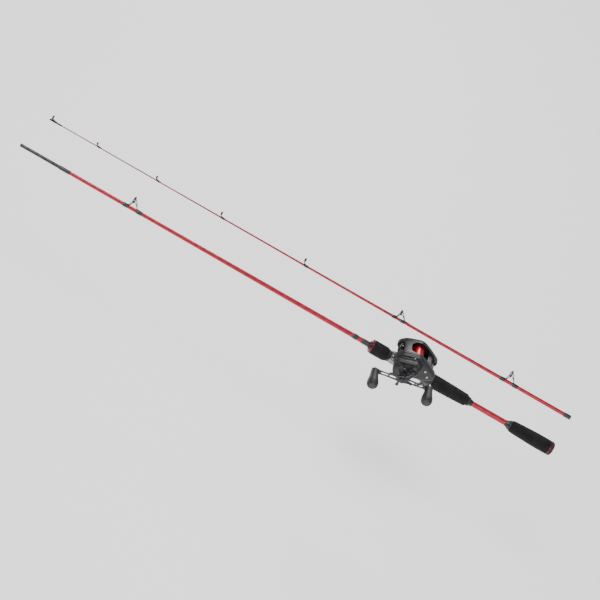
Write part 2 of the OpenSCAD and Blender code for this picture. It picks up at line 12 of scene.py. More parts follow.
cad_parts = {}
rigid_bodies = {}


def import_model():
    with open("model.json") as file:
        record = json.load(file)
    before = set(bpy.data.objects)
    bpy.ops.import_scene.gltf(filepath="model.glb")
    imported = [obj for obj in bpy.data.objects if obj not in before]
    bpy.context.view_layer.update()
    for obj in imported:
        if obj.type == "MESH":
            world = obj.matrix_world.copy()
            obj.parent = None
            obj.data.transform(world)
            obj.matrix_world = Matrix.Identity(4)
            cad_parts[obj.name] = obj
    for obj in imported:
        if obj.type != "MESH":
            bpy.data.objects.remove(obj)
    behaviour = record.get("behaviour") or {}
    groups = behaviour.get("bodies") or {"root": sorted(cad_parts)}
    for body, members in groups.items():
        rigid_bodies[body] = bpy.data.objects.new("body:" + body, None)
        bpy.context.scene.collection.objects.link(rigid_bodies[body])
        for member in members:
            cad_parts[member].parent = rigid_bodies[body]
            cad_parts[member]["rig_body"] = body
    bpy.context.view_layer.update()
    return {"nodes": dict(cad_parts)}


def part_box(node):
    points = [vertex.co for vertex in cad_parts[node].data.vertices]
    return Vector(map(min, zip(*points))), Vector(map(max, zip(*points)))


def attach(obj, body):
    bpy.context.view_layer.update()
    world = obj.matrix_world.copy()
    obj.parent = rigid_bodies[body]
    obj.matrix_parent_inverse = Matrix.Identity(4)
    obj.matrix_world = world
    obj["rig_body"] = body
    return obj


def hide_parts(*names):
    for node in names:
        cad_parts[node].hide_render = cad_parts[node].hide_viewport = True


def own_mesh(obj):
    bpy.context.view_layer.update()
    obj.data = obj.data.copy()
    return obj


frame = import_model()
MM = 0.001
BODY = {name: node["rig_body"] for name, node in frame["nodes"].items()}


def box_mm(node):
    low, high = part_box(node)
    return low / MM, high / MM


def axis_of(node):
    """Centre of a turned CAD node whose axis is Y, as (x, z)."""
    low, high = box_mm(node)
    return (low.x + high.x) / 2, (low.z + high.z) / 2


# ---- Mesh helpers: most return (points, faces) in millimetres ----
def turn(n):
    """Angles of n even steps round a full turn."""
    return [2 * math.pi * k / n for k in range(n)]


def fillet(points, size, steps=4, closed=False):
    """Rounds the corners of a polyline by up to size."""
    out = []
    count = len(points)
    for i, p in enumerate(points):
        if not closed and i in (0, count - 1):
            out.append(tuple(p))
            continue
        a, b, c = (Vector(points[k % count]) for k in (i - 1, i, i + 1))
        cut_a = min(size, 0.45 * (a - b).length)
        cut_c = min(size, 0.45 * (c - b).length)
        start = b + (a - b).normalized() * cut_a
        end = b + (c - b).normalized() * cut_c
        for k in range(steps + 1):
            t = k / steps
            out.append(tuple(start * (1 - t) ** 2 + b * 2 * t * (1 - t) + end * t * t))
    return out


def lathe(profile, at=(0.0, 0.0), axis="x", n=64, closed=False, wave=None):
    """Turns [along, radius] points about an axis; wave(angle, along) may scale the radius."""
    points, rings = [], []
    for along, radius in profile:
        ring = []
        for angle in turn(n) if radius > 1e-6 else [0.0]:
            r = radius * (wave(angle, along) if wave else 1.0)
            u, v = at[0] + r * math.cos(angle), at[1] + r * math.sin(angle)
            ring.append(len(points))
            points.append((along, u, v) if axis == "x" else (u, along, v))
        rings.append(ring)
    if closed:
        rings.append(rings[0])
    return points, bridge(rings)


def bridge(rings):
    """Faces between neighbouring rings of point numbers; a ring of one point closes to a fan."""
    faces = []
    for a, b in zip(rings, rings[1:]):
        size = max(len(a), len(b))
        for k in range(size):
            j = (k + 1) % size
            if len(a) == 1 and len(b) == 1:
                continue
            if len(a) == 1:
                faces.append((a[0], b[j], b[k]))
            elif len(b) == 1:
                faces.append((a[k], a[j], b[0]))
            else:
                faces.append((a[k], a[j], b[j], b[k]))
    return faces


def loft(rings):
    """Skins rings of equal size and closes both ends at their centres."""
    points, index = [], []
    ends = [[sum((Vector(p) for p in ring), Vector()) / len(ring)] for ring in (rings[0], rings[-1])]
    for ring in [ends[0]] + list(rings) + [ends[1]]:
        index.append(list(range(len(points), len(points) + len(ring))))
        points.extend(tuple(p) for p in ring)
    return points, bridge(index)


def closed_skin(rings):
    """Skins rings of equal size and joins the last one to the first."""
    n = len(rings[0])
    index = [list(range(i * n, i * n + n)) for i in range(len(rings))]
    return [tuple(p) for ring in rings for p in ring], bridge(index + [index[0]])


def smooth_path(points, steps=6):
    """Catmull-Rom curve through the points."""
    pts = [Vector(p) for p in points]
    pts = [pts[0] * 2 - pts[1]] + pts + [pts[-1] * 2 - pts[-2]]
    out = []
    for i in range(1, len(pts) - 2):
        a, b, c, d = pts[i - 1:i + 3]
        for k in range(steps):
            t = k / steps
            out.append(0.5 * (2 * b + (c - a) * t + (2 * a - 5 * b + 4 * c - d) * t * t
                              + (3 * b - a - 3 * c + d) * t ** 3))
    out.append(pts[-2])
    return out


def sweep(path, radii, n=20, side=(0, 1, 0), closed=False):
    """Tube along a path. A radius is one number or (along side, across it); ends are rounded."""
    pts = [Vector(p) for p in path]
    count = len(pts)
    if not isinstance(radii, (list, tuple)) or (len(radii) == 2 and count != 2):
        radii = [radii] * count
    side = Vector(side)
    rings = []
    for i, p in enumerate(pts):
        before, after = pts[(i - 1) % count], pts[(i + 1) % count]
        if not closed:
            before, after = pts[max(i - 1, 0)], pts[min(i + 1, count - 1)]
        tangent = (after - before).normalized()
        u = (side - tangent * side.dot(tangent)).normalized()
        v = tangent.cross(u)
        a, b = radii[i] if isinstance(radii[i], (list, tuple)) else (radii[i], radii[i])
        steps = [(1.0, 0.0)]
        if not closed and i == 0:
            steps = [(0.35, -0.94), (0.75, -0.66), (1.0, 0.0)]
        if not closed and i == count - 1:
            steps = [(1.0, 0.0), (0.75, 0.66), (0.35, 0.94)]
        for scale, out in steps:
            centre = p + tangent * out * min(a, b)
            rings.append([centre + u * a * scale * math.cos(w) + v * b * scale * math.sin(w)
                          for w in turn(n)])
    return closed_skin(rings) if closed else loft(rings)


def flat_plate(loops, thickness, place, bevel=0.3):
    """Plate with rounded edges from closed outlines (holes included); place maps (u, v, w) to a point."""
    curve = bpy.data.curves.new("outline", "CURVE")
    curve.dimensions = "2D"
    curve.fill_mode = "BOTH"
    curve.extrude = thickness / 2 - bevel
    curve.bevel_depth = bevel
    curve.bevel_resolution = 2
    curve.offset = -bevel
    for loop in loops:
        spline = curve.splines.new("POLY")
        spline.points.add(len(loop) - 1)
        for point, (u, v) in zip(spline.points, loop):
            point.co = (u, v, 0, 1)
        spline.use_cyclic_u = True
    holder = bpy.data.objects.new("outline", curve)
    bpy.context.scene.collection.objects.link(holder)
    bpy.context.view_layer.update()
    mesh = bpy.data.meshes.new_from_object(holder.evaluated_get(bpy.context.evaluated_depsgraph_get()))
    points = [tuple(place(*v.co)) for v in mesh.vertices]
    faces = [tuple(p.vertices) for p in mesh.polygons]
    bpy.data.objects.remove(holder)
    bpy.data.curves.remove(curve)
    bpy.data.meshes.remove(mesh)
    return points, faces


def circle_loop(centre, radius, n=32):
    return [(centre[0] + radius * math.cos(a), centre[1] + radius * math.sin(a)) for a in turn(n)]


def hull_loop(circles, grow=0.0, n=96, centre=None):
    """Outline round a few circles (x, z, radius), as seen from centre or else from their mean centre."""
    ring = np.array(circles, float)
    if centre is None:
        centre = ring[:, :2].mean(0)
    normal = np.linspace(0, 2 * math.pi, 720, endpoint=False)
    unit = np.stack([np.cos(normal), np.sin(normal)], 1)
    reach = soften(((ring[:, :2] - centre) @ unit.T + ring[:, 2:3] + grow).max(0))
    out = []
    for angle in np.linspace(0, 2 * math.pi, n, endpoint=False):
        ray = np.array([math.cos(angle), math.sin(angle)])
        facing = unit @ ray
        out.append(tuple(centre + ray * (reach[facing > 0.02] / facing[facing > 0.02]).min()))
    return out


def soften(reach, spread=8):
    """Averages an outline's reach over spread degrees each way: corners turn smooth and flats bow out."""
    k = 2 * spread
    weights = np.hanning(2 * k + 3)[1:-1]
    return np.convolve(np.concatenate([reach[-k:], reach, reach[:k]]), weights / weights.sum(), "valid")


def side_ring(circles, y, grow=0.0, inner=None, mix=0.0, n=96):
    """Ring in the X-Z plane at y; mix blends the outline towards a second set of circles."""
    loop = hull_loop(circles, grow, n)
    if inner:
        other = hull_loop(inner, grow, n, np.array(circles, float)[:, :2].mean(0))
        loop = [((1 - mix) * a[0] + mix * b[0], (1 - mix) * a[1] + mix * b[1]) for a, b in zip(loop, other)]
    return [Vector((u, y, v)) for u, v in loop]


def in_xz(y):
    """Placing for a plate that lies in the X-Z plane with its middle at y."""
    return lambda u, v, w: (u, y + w, v)


def turned(parts, centre, degrees):
    """Turns a (points, faces) pair about the Y axis through centre (x, z), +X end down."""
    turn = Matrix.Rotation(math.radians(degrees), 3, "Y")
    pivot = Vector((centre[0], 0, centre[1]))
    points, faces = parts
    return [tuple(turn @ (Vector(p) - pivot) + pivot) for p in points], faces


def make_mesh(name, parts, sharp=38):
    mesh = bpy.data.meshes.new(name)
    points, faces = [], []
    for part_points, part_faces in parts:
        base = len(points)
        points.extend(tuple(c * MM for c in p) for p in part_points)
        faces.extend(tuple(base + i for i in f) for f in part_faces)
    mesh.from_pydata(points, [], faces)
    tidy = bmesh_tidy(mesh)
    for polygon in tidy.polygons:
        polygon.use_smooth = True
    tidy.set_sharp_from_angle(angle=math.radians(sharp))
    return tidy


def bmesh_tidy(mesh):
    work = bmesh.new()
    work.from_mesh(mesh)
    bmesh.ops.remove_doubles(work, verts=work.verts, dist=1e-7)
    bmesh.ops.dissolve_degenerate(work, edges=work.edges, dist=1e-8)
    bmesh.ops.recalc_face_normals(work, faces=work.faces)
    work.to_mesh(mesh)
    work.free()
    return mesh


def piece(name, parts, material, node, hide=None, sharp=38):
    """Adds a piece that rides with node's body and stands for the nodes in hide (node itself by default)."""
    mesh = make_mesh(name, parts, sharp)
    mesh.materials.append(material)
    obj = bpy.data.objects.new(name, mesh)
    bpy.context.scene.collection.objects.link(obj)
    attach(obj, BODY[node])
    hidden = [node] if hide is None else hide
    if hidden:
        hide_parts(*hidden)
    return obj


# ---- Materials ----
def start_material(name):
    material = bpy.data.materials.new(name)
    material.use_nodes = True
    shader = material.node_tree.nodes["Principled BSDF"]
    return material, material.node_tree, shader


def feed(tree, socket, value):
    """Links a node's output to a socket, or sets a plain value on it."""
    if isinstance(value, bpy.types.NodeSocket):
        tree.links.new(value, socket)
    else:
        socket.default_value = value


def add(tree, kind, **values):
    """New node; an underscore in a socket's name stands for a space, other names are settings."""
    node = tree.nodes.new(kind)
    for key, value in values.items():
        socket = key.replace("_", " ")
        if socket in node.inputs:
            feed(tree, node.inputs[socket], value)
        else:
            setattr(node, key, value)
    return node


def settle(tree, shader, **values):
    """Links or sets the shader's own sockets by name."""
    for key, value in values.items():
        feed(tree, shader.inputs[key.replace("_", " ")], value)


def pattern(tree, kind, **values):
    """Texture laid out in the object's own space."""
    place = add(tree, "ShaderNodeTexCoord").outputs["Object"]
    return add(tree, "ShaderNodeTex" + kind, Vector=place, **values).outputs


def noise(tree, scale, detail=3):
    return pattern(tree, "Noise", Scale=scale, Detail=detail, Roughness=0.55)["Fac"]


def spread(tree, value, low, high, out_low, out_high):
    return add(tree, "ShaderNodeMapRange", Value=value, From_Min=low, From_Max=high, To_Min=out_low,
               To_Max=out_high).outputs["Result"]


def mix_colour(tree, factor, a, b):
    node = add(tree, "ShaderNodeMix", data_type="RGBA")
    feed(tree, node.inputs[0], factor)
    for socket, value in ((node.inputs[6], a), (node.inputs[7], b)):
        feed(tree, socket, value + (1.0,) if isinstance(value, tuple) else value)
    return node.outputs[2]


def bump(tree, shader, height, strength, distance, **into):
    normal = add(tree, "ShaderNodeBump", Height=height, Strength=strength, Distance=distance,
                 **into).outputs["Normal"]
    settle(tree, shader, Normal=normal)
    return normal


def grainy(name, dark, light, rough, grain, metallic=0.0, strength=0.2, depth=0.0002, coat=0.0, blotch=60):
    """A moulded, painted or turned surface: fine grain over slow patches of tone and gloss."""
    material, tree, shader = start_material(name)
    fine = noise(tree, grain, 2)
    slow = noise(tree, blotch, 4)
    tone = mix_colour(tree, spread(tree, slow, 0.3, 0.7, 0.0, 1.0), dark, light)
    speck = mix_colour(tree, spread(tree, fine, 0.52, 0.75, 0.0, 0.55), tone,
                       tuple(min(1.0, c * 1.7 + 0.004) for c in light))
    bump(tree, shader, fine, strength, depth)
    settle(tree, shader, Base_Color=speck, Roughness=spread(tree, slow, 0.3, 0.7, *rough), Metallic=metallic,
           Coat_Weight=coat, Coat_Roughness=0.08)
    return material


def foam_material(name):
    """Closed-cell foam: tiny pits and pale flecks on near-black."""
    material, tree, shader = start_material(name)
    cells = pattern(tree, "Voronoi", Scale=1500.0)["Distance"]
    fine = noise(tree, 2600, 2)
    slow = noise(tree, 90, 3)
    tone = mix_colour(tree, spread(tree, slow, 0.35, 0.65, 0, 1), (0.006, 0.006, 0.007),
                      (0.012, 0.012, 0.013))
    fleck = mix_colour(tree, spread(tree, fine, 0.6, 0.72, 0, 0.7), tone, (0.045, 0.045, 0.048))
    pits = bump(tree, shader, cells, 0.45, 0.00035)
    bump(tree, shader, fine, 0.3, 0.0002, Normal=pits)
    settle(tree, shader, Base_Color=fleck, Roughness=spread(tree, fine, 0.3, 0.7, 0.72, 0.95),
           Sheen_Weight=0.04, Sheen_Roughness=0.6, Specular_IOR_Level=0.15)
    return material


def blank_material(name, bare_from, dark_tip=None):
    """Red lacquer over spiral-wrapped graphite; bare graphite from bare_from on (mm along X)."""
    material, tree, shader = start_material(name)
    place = add(tree, "ShaderNodeTexCoord").outputs["Object"]
    along = add(tree, "ShaderNodeSeparateXYZ", Vector=place).outputs["X"]
    tape = pattern(tree, "Wave", Scale=38.0, Distortion=1.2, Detail=2.0, bands_direction="DIAGONAL")["Fac"]
    flake = noise(tree, 4200, 2)
    slow = noise(tree, 26, 3)
    red = mix_colour(tree, spread(tree, tape, 0.2, 0.8, 0, 0.55), (0.42, 0.014, 0.033), (0.27, 0.008, 0.021))
    red = mix_colour(tree, spread(tree, slow, 0.35, 0.65, 0, 0.35), red, (0.52, 0.024, 0.046))
    red = mix_colour(tree, spread(tree, flake, 0.6, 0.8, 0, 0.5), red, (0.80, 0.06, 0.07))
    if dark_tip:
        red = mix_colour(tree, spread(tree, along, dark_tip[0] * MM, dark_tip[1] * MM, 0, 0.75), red,
                         (0.12, 0.008, 0.016))
    graphite = mix_colour(tree, spread(tree, tape, 0.2, 0.8, 0, 1), (0.018, 0.019, 0.020),
                          (0.036, 0.037, 0.039))
    mask = spread(tree, along, (bare_from - 0.3) * MM, (bare_from + 0.3) * MM, 0, 1)
    bump(tree, shader, tape, 0.06, 0.0002)
    settle(tree, shader, Base_Color=mix_colour(tree, mask, red, graphite),
           Roughness=spread(tree, mask, 0, 1, 0.27, 0.46), Metallic=spread(tree, mask, 0, 1, 0.35, 0.0),
           Coat_Weight=0.25, Coat_Roughness=0.1, Specular_IOR_Level=0.35)
    return material


def thread_material(name):
    """Black binding thread, seen through a glossy epoxy coat."""
    material, tree, shader = start_material(name)
    turns = pattern(tree, "Wave", Scale=900.0, Distortion=0.15, bands_direction="X")["Fac"]
    slow = noise(tree, 300, 3)
    tone = mix_colour(tree, turns, (0.005, 0.005, 0.006), (0.016, 0.016, 0.018))
    tone = mix_colour(tree, spread(tree, slow, 0.4, 0.7, 0, 0.4), tone, (0.024, 0.024, 0.026))
    bump(tree, shader, turns, 0.25, 0.0001)
    settle(tree, shader, Base_Color=tone, Roughness=spread(tree, slow, 0.3, 0.7, 0.25, 0.4), Coat_Weight=0.35,
           Coat_Roughness=0.08)
    return material


def turned_material(name, dark, light, rough, metallic, about="Y", coat=0.0):
    """Turned metal: fine rings round the axis, as a lathe leaves them."""
    material, tree, shader = start_material(name)
    rings = pattern(tree, "Wave", Scale=700.0, Distortion=0.4, Detail=1.0, bands_direction=about)["Fac"]
    slow = noise(tree, 120, 3)
    tone = mix_colour(tree, spread(tree, slow, 0.3, 0.7, 0, 1), dark, light)
    tone = mix_colour(tree, spread(tree, rings, 0.3, 1, 0, 0.25), tone, light)
    bump(tree, shader, rings, 0.08, 0.00005)
    settle(tree, shader, Base_Color=tone, Roughness=spread(tree, rings, 0, 1, *rough), Metallic=metallic,
           Coat_Weight=coat)
    return material


def woven_material(name):
    """Woven carbon friction discs."""
    material, tree, shader = start_material(name)
    check = pattern(tree, "Checker", Scale=900.0)["Fac"]
    bump(tree, shader, check, 0.2, 0.0001)
    settle(tree, shader, Base_Color=mix_colour(tree, check, (0.02, 0.02, 0.022), (0.06, 0.06, 0.065)),
           Roughness=spread(tree, noise(tree, 600), 0.3, 0.7, 0.5, 0.7))
    return material


FOAM = foam_material("eva_foam")
BUTT_RED = blank_material("butt_lacquer", 961.5)
TIP_RED = blank_material("tip_lacquer", 2000, dark_tip=(420, 960))
THREAD = thread_material("thread_wrap")
REEL_BLACK = grainy("reel_graphite", (0.006, 0.006, 0.007), (0.012, 0.012, 0.013), (0.24, 0.36), 1900,
                    strength=0.12, depth=0.0001, coat=0.15, blotch=45)
REEL_GREY = grainy("reel_grey", (0.007, 0.007, 0.008), (0.014, 0.014, 0.016), (0.34, 0.48), 2400,
                   metallic=0.1, strength=0.12, depth=0.00008, coat=0.08, blotch=50)
SEAT_BLACK = grainy("seat_graphite", (0.009, 0.009, 0.010), (0.016, 0.016, 0.018), (0.38, 0.54), 1500,
                    strength=0.2, depth=0.00012, blotch=60)
DARK_METAL = turned_material("dark_metal", (0.028, 0.028, 0.031), (0.055, 0.055, 0.060), (0.28, 0.42), 0.7)
CRANK_METAL = grainy("crank_metal", (0.030, 0.030, 0.033), (0.055, 0.055, 0.060), (0.27, 0.38), 3000,
                     metallic=0.7, strength=0.05, depth=0.00005, blotch=70)
STEEL = turned_material("bright_steel", (0.55, 0.55, 0.57), (0.75, 0.75, 0.77), (0.16, 0.30), 1.0)
WIRE = turned_material("guide_steel", (0.018, 0.018, 0.020), (0.045, 0.045, 0.050), (0.24, 0.36), 0.7,
                       about="X")
HOOD_DARK = turned_material("hood_steel", (0.16, 0.16, 0.17), (0.28, 0.28, 0.295), (0.16, 0.28), 1.0,
                            about="X")
CERAMIC = grainy("guide_ceramic", (0.05, 0.05, 0.054), (0.09, 0.09, 0.095), (0.08, 0.16), 2500, strength=0.03,
                 depth=0.00004, coat=0.6, blotch=150)
RED_METAL = turned_material("red_anodised", (0.42, 0.004, 0.010), (0.66, 0.010, 0.020), (0.2, 0.34), 0.8,
                            coat=0.3)
# The spool's red anodising darkened almost to black: painted shade for the hollow of the spool's window, not
# a colour the flanges have of their own
FLANGE_SHADED_RED = turned_material("flange_red_painted_shade", (0.030, 0.006, 0.008), (0.070, 0.010, 0.014), (0.2, 0.34),
                               0.8)
RED_TRIM = turned_material("red_trim", (0.085, 0.003, 0.011), (0.155, 0.006, 0.018), (0.25, 0.4), 0.6,
                           about="X", coat=0.3)
RUBBER = grainy("butt_rubber", (0.018, 0.007, 0.009), (0.034, 0.012, 0.015), (0.6, 0.8), 1300, strength=0.3,
                depth=0.0002, blotch=70)
BRASS = turned_material("gear_brass", (0.52, 0.36, 0.13), (0.75, 0.56, 0.25), (0.22, 0.36), 1.0)
NYLON = grainy("nylon", (0.62, 0.61, 0.56), (0.74, 0.73, 0.68), (0.4, 0.55), 1800, strength=0.1, blotch=120)
FIBRE = woven_material("drag_fibre")
KNOB_RUBBER = grainy("knob_rubber", (0.007, 0.007, 0.008), (0.014, 0.014, 0.015), (0.42, 0.58), 1700,
                     strength=0.35, depth=0.0002, blotch=140)
CAP_METAL = turned_material("knob_cap", (0.035, 0.035, 0.038), (0.065, 0.065, 0.070), (0.3, 0.42), 0.7)

# ---- Rod: blanks, grips and trim ----
BUTT_LEN = box_mm("butt_blank")[1].x
SPIGOT_X = BUTT_LEN - 75
SPIGOT_R = 2.92
BUTT_PROFILE = [(0, 4.9), (160, 4.75), (360, 4.5), (420, 4.1), (600, 3.8), (760, 3.3), (961, 3.1)]
TIP_PROFILE = [(0, 3.5), (160, 3.1), (230, 2.8), (330, 2.5), (420, 2.2), (550, 1.7), (680, 1.4), (800, 1.1),
               (1016, 0.85)]
tip_low, tip_high = box_mm("tip_blank")
TIP_X = tip_low.x
TIP_Y = (tip_low.y + tip_high.y) / 2
TIP_LEN = tip_high.x - tip_low.x


def radius_at(profile, x):
    return float(np.interp(x, [p[0] for p in profile], [p[1] for p in profile]))


def tube_profile(outer, inner_start, inner_end):
    """Closed lathe outline of a sleeve: outer points, then the bore back to the start."""
    return list(outer) + [(outer[-1][0], inner_end), (outer[0][0], inner_start)]


def blank_outline(profile, start, end, step=20):
    xs = sorted(set([start, end] + [x for x in range(int(start) + 1, int(end)) if x % step == 0]))
    return [(x, radius_at(profile, x)) for x in xs]


def sleeve_on(profile, outer, offset=0.0, n=64, y=0.0, wave=None, size=0.0):
    """Turned sleeve on a blank; outer is in the blank's own lengths, offset moves it along X."""
    shape = fillet(outer, size) if size else outer
    closed = tube_profile(shape, radius_at(profile, outer[0][0]) + 0.05,
                          radius_at(profile, outer[-1][0]) + 0.05)
    return lathe([(x + offset, r) for x, r in closed], (y, 0.0), n=n, closed=True, wave=wave)


butt_outer = blank_outline(BUTT_PROFILE, 5.6, SPIGOT_X) + [(SPIGOT_X + 0.4, SPIGOT_R),
                                                           (BUTT_LEN - 0.5, SPIGOT_R),
                                                            (BUTT_LEN, SPIGOT_R - 0.4)]
piece("butt_blank_lacquered", [lathe(tube_profile(butt_outer, 3.8, 1.8), n=72, closed=True)], BUTT_RED,
      "butt_blank")
tip_outer = blank_outline(TIP_PROFILE, 0, TIP_LEN)
tip_shape = [(80.0, 0.0), (80.0, 2.97), (0.3, 2.97), (0.0, 3.1)] + tip_outer + [(TIP_LEN, 0.0)]
piece("tip_blank_lacquered", [lathe([(x + TIP_X, r) for x, r in tip_shape], (TIP_Y, 0.0), n=64)], TIP_RED,
      "tip_blank")

butt_grip_shape = [(8.05, 11.7), (8.6, 12.15), (30, 12.2), (40, 11.95), (50, 11.6), (60, 11.2), (71, 10.75),
                   (78, 10.35), (81.0, 9.4), (82.1, 7.6)]
piece("butt_grip_foam", [sleeve_on(BUTT_PROFILE, butt_grip_shape, size=2.0, n=80)], FOAM, "butt_grip")
rear_grip_shape = [(166.6, 7.2), (168.2, 9.6), (171, 10.4), (183, 10.9), (193, 11.2), (203, 11.5),
                   (213, 11.8), (230, 12.2), (236, 12.1)]
piece("rear_grip_foam", [sleeve_on(BUTT_PROFILE, rear_grip_shape, size=2.0, n=80)], FOAM, "rear_grip")
cap_shape = fillet([(0, 0), (0, 7.4), (0.45, 7.8), (0.45, 8.6), (0, 9.0), (0.2, 10.2), (2.4, 12.05),
                    (5.5, 12.1)],
                   0.6) + [(5.5, 3.7), (19, 3.7), (19.8, 3.2), (20, 0)]
piece("butt_cap_moulded", [lathe(cap_shape, n=72)], RUBBER, "butt_cap")
piece("butt_ring_anodised", [sleeve_on(BUTT_PROFILE, [(5.56, 11.9), (5.8, 12.2), (7.8, 12.2), (8.0, 11.9)],
                                       size=0.2, n=72)], RED_TRIM, "butt_ring")
piece("butt_grip_check_turned", [sleeve_on(BUTT_PROFILE, [
    (82.2, 8.0), (82.6, 8.4), (84.6, 8.4), (85.0, 7.9), (85.6, 7.9), (87, 6.6), (90, 5.6), (92, 5.15)],
    size=0.3)], DARK_METAL, "butt_grip_check")
piece("rear_grip_check_turned", [sleeve_on(BUTT_PROFILE, [
    (157, 5.15), (160, 5.8), (162.4, 6.8), (163.0, 7.6), (163.6, 8.0), (166.0, 8.0), (166.4, 7.6)],
    size=0.3)], DARK_METAL, "rear_grip_check")


def wrap_outline(x0, x1, r):
    """Thread wrap under epoxy: domed, thin at both ends."""
    rise = 0.48
    inset = min(2.2, (x1 - x0) / 3)
    out = []
    for k in range(9):
        t = k / 8
        out.append((x0 + inset * t, r + 0.12 + (rise - 0.12) * math.sin(math.pi / 2 * t)))
    out += [(x1 - (p[0] - x0), p[1]) for p in reversed(out)]
    return out


WRAPS = [(358.5, 372), (381, 390), (801, 812), (828, 838), (941, 961)]
piece("butt_thread_wraps", [sleeve_on(BUTT_PROFILE, wrap_outline(a, b, radius_at(BUTT_PROFILE, (a + b) / 2)))
                            for a, b in WRAPS], THREAD, "butt_wraps")
# Bright metal bands bound into the trim wraps
bands = [(385.2, 386.4), (371.9, 372.6), (359.0, 359.6), (940.6, 941.3)]
piece("butt_trim_bands", [sleeve_on(BUTT_PROFILE, [
    (a, radius_at(BUTT_PROFILE, a) + 0.2), (a + 0.1, radius_at(BUTT_PROFILE, a) + 0.56),
    (b - 0.1, radius_at(BUTT_PROFILE, a) + 0.56), (b, radius_at(BUTT_PROFILE, a) + 0.2)]) for a, b in bands],
    DARK_METAL, "butt_wraps", hide=[])
TIP_WRAPS = [(0, 13), (105, 114), (130, 139), (326, 334), (343, 350), (514, 523), (677, 685), (803, 810),
             (919, 925)]
piece("tip_thread_wraps", [sleeve_on(TIP_PROFILE, wrap_outline(a, b, radius_at(TIP_PROFILE, (a + b) / 2)),
                                     offset=TIP_X, y=TIP_Y, n=48) for a, b in TIP_WRAPS], THREAD,
      "tip_wraps")


# ---- Line guides ----
def guide_parts(x, top, ring, blank, feet, y):
    """Frame of one guide: ring band, bent legs and flattened feet that run under the wraps."""
    wire = 0.78
    ring_z = top - ring - 0.7
    seat = blank + 0.45
    loop = [(x, y + ring * math.cos(a), ring_z + ring * math.sin(a))
            for a in turn(40)]
    parts = [sweep(loop, (1.15, 0.68), n=14, side=(1, 0, 0), closed=True)]
    for s in (-1, 1):
        low = [(x, y + s * ring * 0.72, ring_z - ring * 0.70),
               (x + (1.2 if feet > 1 else -1.6), y + s * ring * 0.42, (ring_z - ring + seat) / 2),
               (x + (2.2 if feet > 1 else -3.6), y + s * 0.55, seat + 0.25),
               (x + (5.0 if feet > 1 else -6.5), y + s * 0.40, seat)]
        parts.append(sweep(smooth_path(low), wire * (0.9 if feet > 1 else 0.75), n=12))
        if feet > 1:
            high = [(x - 0.2, y + s * ring * 1.0, ring_z + ring * 0.1),
                    (x - 4.5, y + s * ring * 0.80, ring_z - ring * 0.35),
                    (x - 9.5, y + s * ring * 0.42, (ring_z + seat) / 2 - 0.8),
                    (x - 13.4, y + s * 0.55, seat + 0.3), (x - 16, y + s * 0.4, seat)]
            parts.append(sweep(smooth_path(high), wire * 0.9, n=12))
    if feet > 1:
        parts.append(sweep([(x + 1.5, y, seat), (x + 6, y, seat), (x + 9.3, y, seat - 0.1)],
                           [(1.1, 0.42), (1.0, 0.36), (0.6, 0.25)], n=14))
        parts.append(sweep([(x - 12.6, y, seat), (x - 18, y, seat), (x - 23.2, y, seat - 0.1)],
                           [(1.1, 0.42), (1.0, 0.36), (0.6, 0.25)], n=14))
    else:
        parts.append(sweep([(x - 4, y, seat - 0.02), (x - 7, y, seat), (x - 10.4, y, seat - 0.1)],
                           [(0.8, 0.36), (0.9, 0.34), (0.5, 0.22)], n=14))
    return parts


def ring_insert(x, top, ring, y):
    """Polished ring with a rounded inner lip."""
    ring_z = top - ring - 0.7
    r = ring - 0.55
    return lathe([(x - 1.05, r - 0.05), (x - 0.8, r - 0.55), (x, r - 0.82), (x + 0.8, r - 0.55),
                  (x + 1.05, r - 0.05),
                  (x + 0.4, r + 0.1), (x - 0.4, r + 0.1)], (y, ring_z), n=48, closed=True)


STRIPPER = (826, 24, 5.6)
DOUBLE_GUIDES = [(127, 24, 5.6), (341, 19.6, 4.4)]
SINGLE_GUIDES = [(526, 14, 3.1), (688, 11.3, 2.6), (813, 8.9, 2.2), (928, 8.2, 2.0)]
piece("stripper_guide_frame", guide_parts(*STRIPPER, radius_at(BUTT_PROFILE, 826), 2, 0.0), WIRE,
      "stripper_guide")
piece("stripper_guide_ring", [ring_insert(*STRIPPER, 0.0)], CERAMIC, "stripper_ring")
piece("double_guide_frames", [part for d, top, ring in DOUBLE_GUIDES
                              for part in guide_parts(d + TIP_X, top, ring, radius_at(TIP_PROFILE, d), 2,
                                                      TIP_Y)],
      WIRE, "double_foot_guides")
piece("single_guide_frames", [part for d, top, ring in SINGLE_GUIDES
                              for part in guide_parts(d + TIP_X, top, ring, radius_at(TIP_PROFILE, d), 1,
                                                      TIP_Y)],
      WIRE, "single_foot_guides")
piece("tip_section_rings", [ring_insert(d + TIP_X, top, ring, TIP_Y) for d, top, ring in
                            DOUBLE_GUIDES + SINGLE_GUIDES], CERAMIC, "guide_rings")
END = TIP_X + TIP_LEN
tip_loop = [(END - 1, TIP_Y + 3.2 * math.cos(a), 6.6 + 3.2 * math.sin(a))
            for a in turn(36)]
tip_top_parts = [lathe(fillet([(END - 22, 0.95), (END - 22, 1.3), (END - 21, 1.5), (END + 0.8, 1.5),
                               (END + 1.8, 1.0), (END + 2, 0)], 0.3), (TIP_Y, 0), n=32),
                 sweep(tip_loop, (1.0, 0.66), n=12, side=(1, 0, 0), closed=True)]
for s in (-1, 1):
    tip_top_parts.append(sweep(smooth_path([(END - 1, TIP_Y + s * 2.3, 4.4), (END - 4, TIP_Y + s * 1.4, 2.6),
                                            (END - 8, TIP_Y + s * 0.6, 1.5),
                                            (END - 12, TIP_Y + s * 0.5, 1.1)]),
                               0.62, n=10))
piece("tip_top_frame", tip_top_parts, WIRE, "tip_top")
piece("tip_top_insert", [lathe([(END - 1.8, 2.6), (END - 1.5, 2.1), (END - 1, 1.9), (END - 0.5, 2.1),
                                (END - 0.2, 2.6), (END - 1, 2.8)], (TIP_Y, 6.6), n=36, closed=True)], CERAMIC,
      "tip_top_ring")

